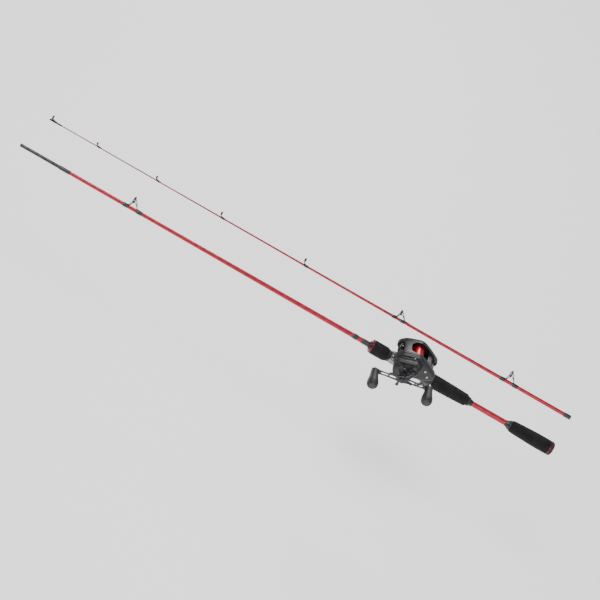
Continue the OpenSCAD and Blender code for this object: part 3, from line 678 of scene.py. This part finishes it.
# ---- Reel seat and its moving parts ----
S = axis_of("spool")
D = axis_of("drive_gear")
W = axis_of("worm_shaft")
RAIL = axis_of("guide_rail")


def bar(circles, y0, y1, round_off=0.35):
    """Cross bar round a few circles, between two places along Y, with rounded edges."""
    r = round_off
    levels = [(y0, -r), (y0 + 0.3 * r, -0.3 * r), (y0 + r, 0), (y1 - r, 0), (y1 - 0.3 * r, -0.3 * r),
              (y1, -r)]
    return loft([side_ring(circles, y, grow, n=64) for y, grow in levels])


def superellipse(wide, high, power):
    """Outline of a rounded rectangle from its half sizes."""
    out = []
    for a in turn(48):
        c, s = math.cos(a), math.sin(a)
        reach = (abs(c) ** power + abs(s) ** power) ** (-1 / power)
        out.append((wide * reach * c, high * reach * s))
    return out


def rounded_box(x0, x1, width, z0, z1, power):
    """Rounded block that runs along X."""
    middle = (z0 + z1) / 2
    stations = [(x0 + (x1 - x0) * t, s) for t, s in ((0, 0.80), (0.06, 0.94), (0.2, 1.0))]
    stations += [(x1 - (x - x0), s) for x, s in reversed(stations)]
    return loft([[(x, y, middle + z) for y, z in superellipse(scale * width, scale * (z1 - z0) / 2, power)]
                 for x, scale in stations])


def seat_radius(x):
    return float(np.interp(x, [236.05, 236.6, 240, 247, 256, 303], [11.3, 11.8, 11.8, 11.1, 10.4, 10.3]))


def seat_barrel():
    """Barrel with its flat for the reel foot and shallow finger hollows along both sides."""
    rings = []
    stations = [236.05, 236.3, 236.8, 238, 240, 243, 247, 251, 253.4, 254.2, 256, 260, 266, 272, 278, 284,
                290, 296, 301, 302.6, 303]
    for x in stations:
        ring = []
        flat = 8.9 if 254 <= x <= 302.7 else 30
        r = seat_radius(x) - (0.7 if x == 303 else 0)
        for a in turn(96):
            y, z = r * math.cos(a), r * math.sin(a)
            hollow = 0.55 * max(0.0, math.sin(math.pi * min(1, max(0, (x - 258) / 42)))) ** 0.6
            hollow *= math.exp(-((z + 1.5) / 3.2) ** 2)
            ring.append((x, y * (1 - hollow / r), min(z, flat)))
        rings.append(ring)
    bore = 4.75
    for x in (303, 236.05):
        rings.append([(x, bore * math.cos(a), bore * math.sin(a)) for a in turn(96)])
    return closed_skin(rings)


def seat_thread():
    """Threaded stretch: a real helix of 2 mm pitch."""
    def form(angle, along):
        phase = (along / 2.0 - angle / (2 * math.pi)) % 1.0
        depth = 0.5 * (0.5 + 0.5 * math.cos(2 * math.pi * phase)) if 303.2 < along < 349.8 else 0.5
        return 1 - depth / 8.6
    outline = [(302.9 + 0.36 * k, 8.58) for k in range(131)]
    return lathe(outline + [(349.9, 4.6), (302.9, 4.75)], n=48, closed=True, wave=form)


def trigger():
    path = smooth_path([(242.2, 0, -6.5), (243.0, 0, -10.5), (245.2, 0, -14.2), (247.6, 0, -17.8),
                        (250.2, 0, -21.3)],
                       5)
    count = len(path) - 1
    radii = [(3.45 - 0.7 * k / count, 5.6 * (1 - k / count) ** 1.3 + 2.0) for k in range(count + 1)]
    return sweep(path, radii, n=28)


def sliding_hood():
    """Sleeve that is slim at the sides and rises over the foot's front tab."""
    outline = fillet([(306.1, 8.8), (306.1, 11.3), (308, 12.2), (312, 12.3), (316, 11.6), (318.9, 9.9),
                      (318.9, 8.8)], 0.5, 4)
    rings = []
    for x, r in outline:
        ring = []
        for a in turn(96):
            off = abs((a - math.pi / 2 + math.pi) % (2 * math.pi) - math.pi)
            slim = 1 - 0.62 * min(1.0, max(0.0, (off - 0.45) / 0.7)) ** 1.5
            reach = 8.8 + (r - 8.8) * slim
            ring.append((x, reach * math.cos(a), reach * math.sin(a)))
        rings.append(ring)
    return closed_skin(rings)


piece("reel_seat_moulded", [seat_barrel(), seat_thread(), trigger(),
                            rounded_box(236.2, 249.9, 7.7, 1.5, 12.7, 3.4)], SEAT_BLACK, "reel_seat")
piece("sliding_hood_turned", [sliding_hood()], HOOD_DARK, "sliding_hood")
knurl = [(319.25, 9.0), (319.4, 9.7), (320.0, 10.1), (322.6, 10.1), (323.0, 9.6), (351.9, 9.6), (351.9, 8.8),
         (319.25, 8.8)]
piece("locking_nut_knurled", [lathe(knurl, n=144, closed=True, wave=lambda a, x: 1 - (
    0.022 * (0.5 + 0.5 * math.cos(24 * a)) if 319.5 < x < 322.8 else 0))], SEAT_BLACK, "locking_nut")
grip_shape = fillet([(323.1, 9.8), (323.1, 10.5), (325.2, 11.5), (328.5, 12.15), (338, 12.2), (350.6, 12.2),
                     (351.95, 11.6), (351.95, 9.8)], 0.9, 4)
piece("fore_grip_foam", [lathe(grip_shape, n=80, closed=True)], FOAM, "fore_grip")
ring_shape = fillet([(352.1, 5.5), (352.1, 11.6), (352.8, 12.2), (353.8, 12.1), (354.9, 11.5), (355.9, 9.6),
                     (355.9, 5.5)], 0.35, 3)
piece("fore_grip_ring_anodised", [lathe(ring_shape, n=80, closed=True)], RED_TRIM, "fore_grip_ring")
piece("fore_grip_check_turned", [lathe(fillet([(356.1, 5.45), (356.1, 7.9), (356.8, 7.7), (357.9, 7.0),
                                               (357.9, 5.45)], 0.2, 3), n=64, closed=True)], DARK_METAL,
      "fore_grip_check")

# ---- Reel: foot and frame ----
HANDLE_SIDE = [(S[0], S[1], 16.5), (305.5, 30, 8.5), (309.5, 22.5, 10), (D[0], D[1], 18.9),
               (251.5, 21.5, 9.3)]
HANDLE_FACE = [(S[0], S[1], 11), (308, 21.5, 9.5), (D[0], D[1], 18.9)]
PALM_SIDE = [(S[0], S[1], 16.5), (304.5, 28.5, 8), (309.5, 22, 8.5), (288, 22.5, 9.5), (251.5, 21.5, 9.3)]
PALM_FACE = [(S[0], S[1], 13), (301, 25, 6.5), (260, 23, 7)]


def foot_outline():
    half = [(243.7, 3.2), (244.6, 4.3), (252, 4.4), (257, 6.3), (268, 6.4), (290, 6.4), (301, 6.3),
            (305, 4.4), (312, 4.3), (312.9, 3.2)]
    loop = half + [(x, -y) for x, y in reversed(half)]
    return [(p[0], p[1]) for p in fillet([(x, y, 0) for x, y in loop], 1.2, 3, closed=True)]


def stem():
    """Pillar between the foot and the frame."""
    levels = ((10.2, 21.5, 6.3), (10.9, 21.5, 5.6), (12.0, 19.5, 5.2), (13.0, 19.5, 5.4), (13.6, 19.5, 5.9))
    return loft([[(281 + x, y, z) for x, y in superellipse(length, width, 5)] for z, length, width in levels])


piece("reel_foot_cast", [flat_plate([foot_outline()], 1.36, lambda u, v, w: (u, v, 9.65 + w), 0.3), stem()],
      REEL_BLACK, "reel_foot")

BAR_END = 14.25
YOKE_POSTS = ((S[0] - 6, S[1] + 3.5), (S[0] + 3.5, S[1] + 6))
frame_parts = [
    flat_plate([hull_loop(HANDLE_SIDE, -0.05), circle_loop(S, 4.2), circle_loop(D, 2.6, 24),
                circle_loop(W, 2.3, 24)],
               2.0, in_xz(15.2), 0.25),
    flat_plate([hull_loop(PALM_SIDE, -0.05), circle_loop(S, 15.2, 72), circle_loop(W, 2.3, 24)], 2.0,
               in_xz(-15.2), 0.25),
    bar([(249.5, 17, 3.4), (250.5, 24, 2.6)], -BAR_END, BAR_END),
    bar([(250, 14.8, 1.2), (256, 14.6, 1.1)], -BAR_END, BAR_END),
    bar([(300, 14.2, 0.9), (312, 14.4, 0.9)], -BAR_END, BAR_END),
    bar([(301.5, 33.6, 1.4)], -BAR_END, BAR_END),
    flat_plate([[(254, -14.2), (300, -14.2), (300, 14.2), (254, 14.2)]], 1.0, lambda u, v,
               w: (u, v, 14.0 + w), 0.2)]
for post in YOKE_POSTS:
    frame_parts.append(lathe([(16.0, 0), (16.0, 0.9), (33.4, 0.9), (33.6, 0)], post, "y", 20))
piece("reel_frame_cast", frame_parts, REEL_BLACK, "reel_frame")


def cover(side, face, levels):
    """Closed body of a side cover, not hollow as in CAD; levels are (y, blend towards the face, grow)."""
    return loft([side_ring(side, y, grow, face, mix, 128) for y, mix, grow in levels])


HANDLE_LEVELS = [(16.3, 0, -0.7), (16.5, 0, -0.2), (16.9, 0, 0), (19.6, 0, 0), (20.0, 0, -0.15),
                 (20.2, 0, -0.55),
                 (20.8, 0, -0.6), (21.1, 0, -0.25), (21.6, 0, -0.1), (23.2, 0, -0.15), (24.6, 0, -0.6),
                 (25.5, 0.03, -1.2), (25.9, 0.10, -1.3), (26.0, 0.2, -1.2), (26.0, 0.5, -0.8),
                 (26.05, 0.72, -0.3),
                 (26.4, 0.86, 0.0), (27.2, 0.95, 0.1), (29.5, 0.985, 0.1), (33.0, 1, 0.05), (35.6, 1, 0),
                 (36.6, 1, -0.25), (37.4, 1, -0.8), (37.85, 1, -1.6), (38.0, 1, -2.6), (38.0, 1, -4.6),
                 (37.7, 1, -5.0), (37.7, 1, -5.6), (38.0, 1, -6.0)]
piece("handle_cover_shell", [
    cover(HANDLE_SIDE, HANDLE_FACE, HANDLE_LEVELS),
    lathe([(37.6, 0), (37.6, 9.6), (38.6, 9.4), (39.6, 8.4), (40.4, 7.6), (40.6, 6.6), (39.4, 6.0),
           (38.6, 3.6), (38.6, 0)], D, "y", 64),
    lathe([(37.4, 0), (37.4, 9.0), (38.3, 8.6), (39.2, 6.6), (41.6, 5.5), (41.9, 5.0), (41.9, 0)], S, "y",
          56)],
      REEL_GREY, "handle_side_cover")

PALM_LEVELS = [(-16.3, 0, -0.7), (-16.5, 0, -0.2), (-16.9, 0, 0), (-18.8, 0, 0), (-19.1, 0, -0.15),
               (-19.3, 0, -0.55), (-19.8, 0, -0.6), (-20.1, 0, -0.2), (-21.2, 0, 0), (-22.4, 0.05, -0.25),
               (-23.6, 0.3, -0.5), (-25.0, 0.62, -0.4), (-26.4, 0.88, -0.2), (-27.3, 1, -0.5),
               (-27.8, 1, -1.2), (-28.0, 1, -2.2)]
piece("palm_cover_shell", [cover(PALM_SIDE, PALM_FACE, PALM_LEVELS)], REEL_GREY, "palm_side_cover")


def top_edge(circles):
    """Upper edge of an outline as a function of X."""
    loop = hull_loop(circles, 0, 360)
    middle = sum(z for _, z in loop) / len(loop)
    upper = sorted(p for p in loop if p[1] > middle)
    return lambda x: float(np.interp(x, [p[0] for p in upper], [p[1] for p in upper]))


HANDLE_TOP = top_edge(HANDLE_SIDE)
PALM_TOP = top_edge(PALM_SIDE)


def front_hood():
    """Curved cover over the line guide, its rear edge hollowed so that the spool's window is an oval."""
    half = 14.15
    rings = []
    for j in range(33):
        y = -half + 2 * half * j / 32
        edge = abs(y) / half
        rear = 299.5 - 7.5 * edge ** 4
        front = 311.4 - 1.2 * (1 - edge ** 2)
        share = (y + half) / (2 * half)
        outer, inner = [], []
        for i in range(15):
            x = rear + (front - rear) * i / 14
            z0, z1 = (share * HANDLE_TOP(x + d) + (1 - share) * PALM_TOP(x + d) for d in (-0.4, 0.4))
            normal = Vector((-(z1 - z0), 0, 0.8)).normalized()
            crown = 0.35 * (1 - edge ** 2)
            place = Vector((x, y, (z0 + z1) / 2 - 0.3)) - normal * crown
            outer.append(place)
            inner.append(place - normal * 1.5)
        tip = (outer[-1] + inner[-1]) / 2 + (outer[-1] - outer[-2]).normalized() * 0.5
        back = (outer[0] + inner[0]) / 2 + (outer[0] - outer[1]).normalized() * 0.5
        rings.append(outer + [tip] + inner[::-1] + [back])
    return loft(rings)


def thumb_rest():
    """Clutch bar with fine ridges, its front edge hollowed to follow the spool."""
    half = 13.75
    rings = []
    for j in range(29):
        y = -half + 2 * half * j / 28
        edge = abs(y) / half
        front = 264.2 + 1.7 * edge ** 4
        top = [(255.0, 31.0), (256.0, 32.3)]
        for i in range(25):
            x = 257.0 + (front - 1.4 - 257.0) * i / 24
            ridge = 0.10 * math.sin(math.pi * i / 2) if edge < 0.8 and 2 < i < 22 else 0.0
            top.append((x, 32.9 + 0.75 * (x - 257) / 7 + ridge))
        shape = top + [(front - 0.4, 33.3), (front, 32.4), (front - 0.3, 31.3), (front - 1.6, 30.5),
                       (258, 29.6), (255.6, 29.9)]
        droop = 0.5 * (1 - edge ** 2)
        shrink = 0.25 if j in (0, 28) else 0.0
        rings.append([(x + (260 - x) * shrink * 0.1, y, z - droop + (31.5 - z) * shrink) for x, z in shape])
    return loft(rings)


piece("front_cover_moulded", [front_hood()], REEL_GREY, "front_cover")
piece("thumb_bar_moulded", [thumb_rest()], REEL_BLACK, "thumb_bar", sharp=50)

# ---- Reel: spool, shafts and gears ----
spool_shape = fillet([(-5, 1.32), (-5, 3.3), (-1.2, 4), (-1.2, 9.5), (-10.4, 9.9), (-10.9, 11.5),
                      (-9.6, 11.2),
                      (-4, 10.8), (4, 10.8), (9.6, 11.2), (10.9, 11.5), (10.4, 9.9), (1.2, 9.5), (1.2, 4),
                      (5, 3.3), (5, 1.32)], 0.3, 3)
piece("spool_turned", [lathe(spool_shape, S, "y", 96, closed=True)], RED_METAL, "spool")
flange_parts = []
for way in (-1, 1):
    flange = [(10.5, 9.8), (10.75, 11.4), (11.15, 14.1), (11.5, 14.45), (11.8, 14.45), (12.0, 14.2),
              (12.0, 13.2), (11.6, 12.9), (11.6, 11.2), (12.0, 10.8), (11.9, 9.8)]
    flange_parts.append(lathe([(way * y, r) for y, r in fillet(flange, 0.15, 2)], S, "y", 96, closed=True))
# Flanges in the darkened red that paints the shade inside the spool's window
piece("spool_flanges", flange_parts, FLANGE_SHADED_RED, "spool", hide=[])


def worm_groove(angle, along):
    if abs(along) > 10.6:
        return 1.0
    deep = 0.0
    for way in (-1, 1):
        phase = (along / 5.5 + way * angle / (2 * math.pi)) % 1.0
        deep = max(deep, math.exp(-((min(phase, 1 - phase)) / 0.11) ** 2))
    return 1 - 0.27 * deep


worm_shape = [(-15.6, 0), (-15.6, 1.9), (-15.3, 2.18)] + [(-14.8 + 0.32 * k, 2.18) for k in range(94)]
worm_shape += [(16.2, 2.18), (17, 1.95), (17, 1.45), (20, 1.45), (20.2, 1.2), (20.2, 0)]
piece("worm_cut", [lathe(worm_shape, W, "y", 40, wave=worm_groove)], STEEL, "worm_shaft")
piece("guide_rail_ground", [lathe([(-16.15, 0), (-16.15, 0.8), (-15.9, 0.98), (15.9, 0.98), (16.15, 0.8),
                                   (16.15, 0)], RAIL, "y", 24)], STEEL, "guide_rail")
EYE = (W[0] + 4, 0.0, S[1] + 2.2)
eye_shape = fillet([(EYE[0], 2.65), (EYE[0], 3.3), (EYE[0] + 0.6, 3.55), (EYE[0] + 2.4, 3.55),
                    (EYE[0] + 2.95, 3.3), (EYE[0] + 2.95, 2.65)], 0.25, 3)
piece("line_guide_moulded", [
    bar([(W[0], W[1], 3.5), (RAIL[0], RAIL[1], 2.3)], -2.95, 2.95, 0.5),
    bar([(W[0] + 0.6, W[1] + 2, 2.6), (EYE[0] + 1.5, EYE[2] - 2.8, 1.45)], -1.9, 1.9, 0.4),
    lathe(eye_shape, (0, EYE[2]), "x", 48, closed=True)], REEL_BLACK, "line_guide")
piece("line_guide_insert", [lathe([(EYE[0] + 0.1, 2.55), (EYE[0] + 0.3, 2.1), (EYE[0] + 1.4, 1.75),
                                   (EYE[0] + 2.5, 2.0),
                                   (EYE[0] + 3.1, 2.3), (EYE[0] + 2.9, 2.55)], (0, EYE[2]), "x", 40,
                                   closed=True)],
      CERAMIC, "line_guide_ring")

# ---- Reel: handle ----
hub = fillet([(42.05, 3.1), (42.05, 5.2), (43.0, 5.6), (46.2, 6.5), (50.4, 6.5), (51.3, 5.6), (51.3, 3.1)],
             0.35, 3)
star_parts = [lathe(hub, D, "y", 60, closed=True, wave=lambda a, y: 1 - (0.03 * (0.5 + 0.5 * math.cos(20 * a))
                                                                        if 46.3 < y < 50.3 else 0))]
for k in range(5):
    arm_path = smooth_path([(5.0, 49.4, 0), (10.0, 49.5, 0.3), (15.5, 49.4, 0.2), (21.2, 49.35, -0.1)], 5)
    count = len(arm_path) - 1
    arm_radii = [(0.9, 3.0 - 1.3 * math.sin(math.pi * min(1.0, 1.1 * j / count)) + 0.1 * (j / count))
                 for j in range(count + 1)]
    arm_points, arm_faces = sweep([(p.x + D[0], p.y, p.z + D[1]) for p in arm_path], arm_radii, n=20)
    star_parts.append(turned((arm_points, arm_faces), D, 72 * k + 20))
piece("star_drag_turned", star_parts, DARK_METAL, "star_drag")

SPAN = 93.5 / 2
TILT = 15
ARM_Y = 56.5


def crank_loop():
    """Outline of the crank: wide hub, slim waists and a round boss at each knob."""
    half = [(0, 6.4), (5.5, 5.7), (11, 4.9), (20, 4.1), (30, 3.7), (38, 4.1), (42.0, 5.0), (SPAN, 6.35)]
    boss = [(SPAN + 6.35 * math.sin(a), 6.35 * math.cos(a)) for a in (math.pi * k / 14 for k in range(1, 14))]
    right = half + boss + [(x, -y) for x, y in reversed(half)]
    left = [(-x, y) for x, y in reversed(right)]
    return right[:-1] + left[:-1]


def slot_loop(x0, x1, r):
    ends = [(x1 + r * math.cos(a), r * math.sin(a)) for a in (math.pi * (k / 10 - 0.5) for k in range(11))]
    starts = [(x0 - r * math.cos(a), -r * math.sin(a)) for a in (math.pi * (k / 10 - 0.5) for k in range(11))]
    return ends + starts


crank_holes = [circle_loop((0, 0), 2.06, 24)]
for way in (-1, 1):
    crank_holes.append(circle_loop((way * SPAN, 0), 2.05, 24))
    for x0, x1, r in ((11.5, 19.5, 2.1), (25.5, 34.5, 1.75)):
        crank_holes.append([(way * u, v) for u, v in slot_loop(x0, x1, r)])


def crank_place(u, v, w):
    """The two arms lean a little towards the reel at their ends."""
    lean = (abs(u) - 6.6) * 0.0349 * (1 if u > 0 else -1) * (abs(u) > 6.6)
    return D[0] + u, ARM_Y + 1.2 + w - lean, D[1] + v


crank_flat = flat_plate([crank_loop()] + crank_holes, 2.3, crank_place, 0.45)
crank_collar = lathe([(ARM_Y - 2, 3.1), (ARM_Y - 2, 5.9), (ARM_Y - 1.5, 6.4), (ARM_Y + 0.3, 6.4),
                      (ARM_Y + 0.3, 3.1)],
                     D, "y", 48, closed=True)
piece("crank_cut", [turned(crank_flat, D, TILT), crank_collar], CRANK_METAL, "crank_arm")


def hexagon_nut():
    rings = []
    for y, scale in ((ARM_Y + 2.75, 0.94), (ARM_Y + 3.0, 1.0), (ARM_Y + 5.1, 1.0), (ARM_Y + 5.6, 0.88),
                     (ARM_Y + 5.75, 0.72)):
        ring = []
        for a in turn(48):
            reach = 4.85 / max(math.cos((a % (math.pi / 3)) - math.pi / 6), 0.5)
            reach = min(reach, 5.45) * scale
            ring.append((D[0] + reach * math.cos(a), y, D[1] + reach * math.sin(a)))
        rings.append(ring)
    return loft(rings)


piece("crank_nut_chamfered", [hexagon_nut()], DARK_METAL, "crank_nut")


def knob_centre(way):
    angle = math.radians(TILT)
    return D[0] + way * SPAN * math.cos(angle), D[1] - way * SPAN * math.sin(angle)


spindle_parts = []
for way in (-1, 1):
    spindle = [(52.35, 0), (52.35, 2.9), (52.8, 3.35), (54.6, 3.35), (54.6, 2), (92.9, 2), (93, 1.8), (93, 0)]
    spindle_parts.append(lathe(spindle, knob_centre(way), "y", 32))
piece("knob_spindles_turned", spindle_parts, STEEL, "knob_spindles")
KNOB_SHAPE = fillet([(57.85, 2.15), (57.85, 5.7), (58.6, 6.4), (60.2, 6.8), (67, 7.0), (73, 7.5), (80, 8.65),
                     (86, 9.6), (91, 9.7), (94.6, 9.0), (95.9, 7.6), (95.9, 6.6), (93.4, 6.5), (93.3, 2.15)],
                     1.6, 5)
CAP_SHAPE = fillet([(93.55, 0), (93.55, 6.3), (95.9, 6.35), (96.55, 5.6), (96.5, 4.6), (96.9, 4.15),
                    (96.95, 0)],
                   0.3, 3)
for name, cap_name, way in (("front_knob", "front_knob_cap", 1), ("rear_knob", "rear_knob_cap", -1)):
    piece(name + "_grip", [lathe(KNOB_SHAPE, knob_centre(way), "y", 72, closed=True)], KNOB_RUBBER, name)
    piece(cap_name + "_disc", [lathe(CAP_SHAPE, knob_centre(way), "y", 56)], CAP_METAL, cap_name)

cap_outline = fillet([(38.45, 5.8), (38.45, 7.1), (39.0, 7.55), (44.9, 7.5), (46.0, 6.9), (46.55, 5.6),
                      (46.2, 4.4), (46.2, 0), (42.7, 0), (42.7, 5.8)], 0.4, 3)
piece("cast_cap_knurled", [lathe(cap_outline, S, "y", 120, wave=lambda a, y: 1 - (
    0.045 * (0.5 + 0.5 * math.cos(20 * a)) if 39.2 < y < 44.8 else 0))], DARK_METAL, "cast_control_cap")
dial_outline = fillet([(-28.12, 0), (-28.12, 8.4), (-29.4, 8.55), (-30.2, 7.8), (-30.4, 7.0), (-29.9, 6.4),
                       (-29.9, 0)], 0.3, 3)
dial_parts = [lathe(dial_outline, S, "y", 120, wave=lambda a, y: 1 - (
    0.03 * (0.5 + 0.5 * math.cos(30 * a)) if -29.6 < y < -28.3 else 0)),
              loft([side_ring([(S[0] - 5.2, S[1], 0.95), (S[0] + 5.2, S[1], 0.95)], y, g, n=40)
                    for y, g in ((-29.6, 0.2), (-30.6, 0), (-30.9, -0.3))])]
piece("brake_dial_moulded", dial_parts, REEL_BLACK, "brake_dial")


def screw_head(at):
    """Low round head with a round dimple."""
    outline = [(26.02, 0), (26.02, 1.65), (26.5, 1.68), (26.85, 1.45), (26.98, 1.1), (26.95, 0.8),
               (26.5, 0.75), (26.5, 0)]
    return lathe(outline, at, "y", 36)


piece("cover_screw_heads", [screw_head(p) for p in ((290, 40.5), (262, 27.5), (254, 19.5))], STEEL,
      "cover_screws")

# ---- Reel: coil springs that push the yoke back ----
SPRING_Y = (21.35, 33.4)


def coil_spring(post, turns=9, radius=1.3, wire=0.18):
    """Helix along Y whose first and last turns rise less."""
    path = []
    for i in range(turns * 20 + 1):
        t = i / 20
        lift = min(max((t - 0.75) / (turns - 1.5), 0.0), 1.0)
        y = SPRING_Y[0] + wire + 0.35 * min(t, 0.75) + lift * (SPRING_Y[1] - SPRING_Y[0] - 2 * wire - 0.525)
        y += 0.35 * max(t - turns + 0.75, 0.0)
        a = 2 * math.pi * t
        path.append((post[0] + radius * math.cos(a), y, post[1] + radius * math.sin(a)))
    return sweep(path, wire, n=8)


springs = piece("yoke_spring_coils", [coil_spring(p) for p in YOKE_POSTS], STEEL, "yoke_springs")
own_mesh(springs)

# ---- Inner parts keep their CAD shapes ----
KEPT = {"spool_shaft": STEEL, "drive_shaft": STEEL, "handle_bearing": STEEL, "palm_bearing": STEEL,
        "anti_reverse_bearing": STEEL, "brake_magnets": STEEL, "pinion": BRASS,
        "drive_gear": BRASS, "shaft_cog": NYLON, "worm_gear": NYLON, "clutch_yoke": NYLON,
        "drag_washers": FIBRE}
for name, material in KEPT.items():
    holder = frame["nodes"][name]
    for slot in holder.material_slots:
        slot.material = material
    weld = holder.modifiers.new("weld", "WELD")
    weld.merge_threshold = 1e-6

# ---- Camera, light and floor ----
VIEW_TURN = math.radians(17.2)      # towards the tip from the handle side
VIEW_HEIGHT = math.radians(35)
VIEW_ROLL = math.radians(39.9)
TARGET = Vector((0.495, -0.012, 0))
FRAME_WIDTH = 0.985
LENS = 1200
SENSOR = 36


def make_camera():
    right = Vector((-math.cos(VIEW_TURN), math.sin(VIEW_TURN), 0))
    ahead = Vector((math.sin(VIEW_TURN), math.cos(VIEW_TURN), 0))
    up = Vector((0, 0, 1)) * math.cos(VIEW_HEIGHT) - ahead * math.sin(VIEW_HEIGHT)
    back = ahead * math.cos(VIEW_HEIGHT) + Vector((0, 0, 1)) * math.sin(VIEW_HEIGHT)
    rolled_right = right * math.cos(VIEW_ROLL) + up * math.sin(VIEW_ROLL)
    rolled_up = up * math.cos(VIEW_ROLL) - right * math.sin(VIEW_ROLL)
    camera = bpy.data.objects.new("camera", bpy.data.cameras.new("camera"))
    bpy.context.scene.collection.objects.link(camera)
    camera.data.lens = LENS
    camera.data.sensor_width = SENSOR
    camera.data.clip_end = 60
    place = TARGET + back * (FRAME_WIDTH * LENS / SENSOR)
    basis = Matrix((rolled_right, rolled_up, back)).transposed().to_4x4()
    camera.matrix_world = Matrix.Translation(place) @ basis
    bpy.context.scene.camera = camera


def area_light(name, place, aim, size, power):
    light = bpy.data.lights.new(name, "AREA")
    light.shape = "DISK"
    light.size = size
    light.energy = power
    obj = bpy.data.objects.new(name, light)
    bpy.context.scene.collection.objects.link(obj)
    obj.location = place
    obj.rotation_mode = "QUATERNION"
    obj.rotation_quaternion = (Vector(aim) - Vector(place)).to_track_quat("-Z", "Y")


def make_studio():
    world = bpy.data.worlds.new("studio")
    bpy.context.scene.world = world
    world.use_nodes = True
    world.node_tree.nodes["Background"].inputs["Color"].default_value = (1, 1, 1, 1)
    world.node_tree.nodes["Background"].inputs["Strength"].default_value = 0.5
    area_light("key", (0.9, 0.6, 1.8), (0.45, 0, 0), 0.9, 26)
    area_light("fill", (-0.6, 1.6, 0.9), (0.4, 0, 0), 1.2, 9)
    area_light("rim", (0.4, -1.6, 1.2), (0.4, 0, 0), 0.8, 15)
    mesh = bpy.data.meshes.new("floor")
    half = 6.0
    floor_z = -0.24
    mesh.from_pydata([(-half, -half, floor_z), (half, -half, floor_z), (half, half, floor_z),
                      (-half, half, floor_z)],
                     [], [(0, 1, 2, 3)])
    floor = bpy.data.objects.new("floor", mesh)
    bpy.context.scene.collection.objects.link(floor)
    material, tree, shader = start_material("floor_white")
    tone = mix_colour(tree, noise(tree, 3), (0.93, 0.93, 0.93), (0.95, 0.95, 0.95))
    settle(tree, shader, Base_Color=tone, Roughness=0.9, Emission_Color=(1, 1, 1, 1), Emission_Strength=0.62)
    mesh.materials.append(material)


make_camera()
make_studio()
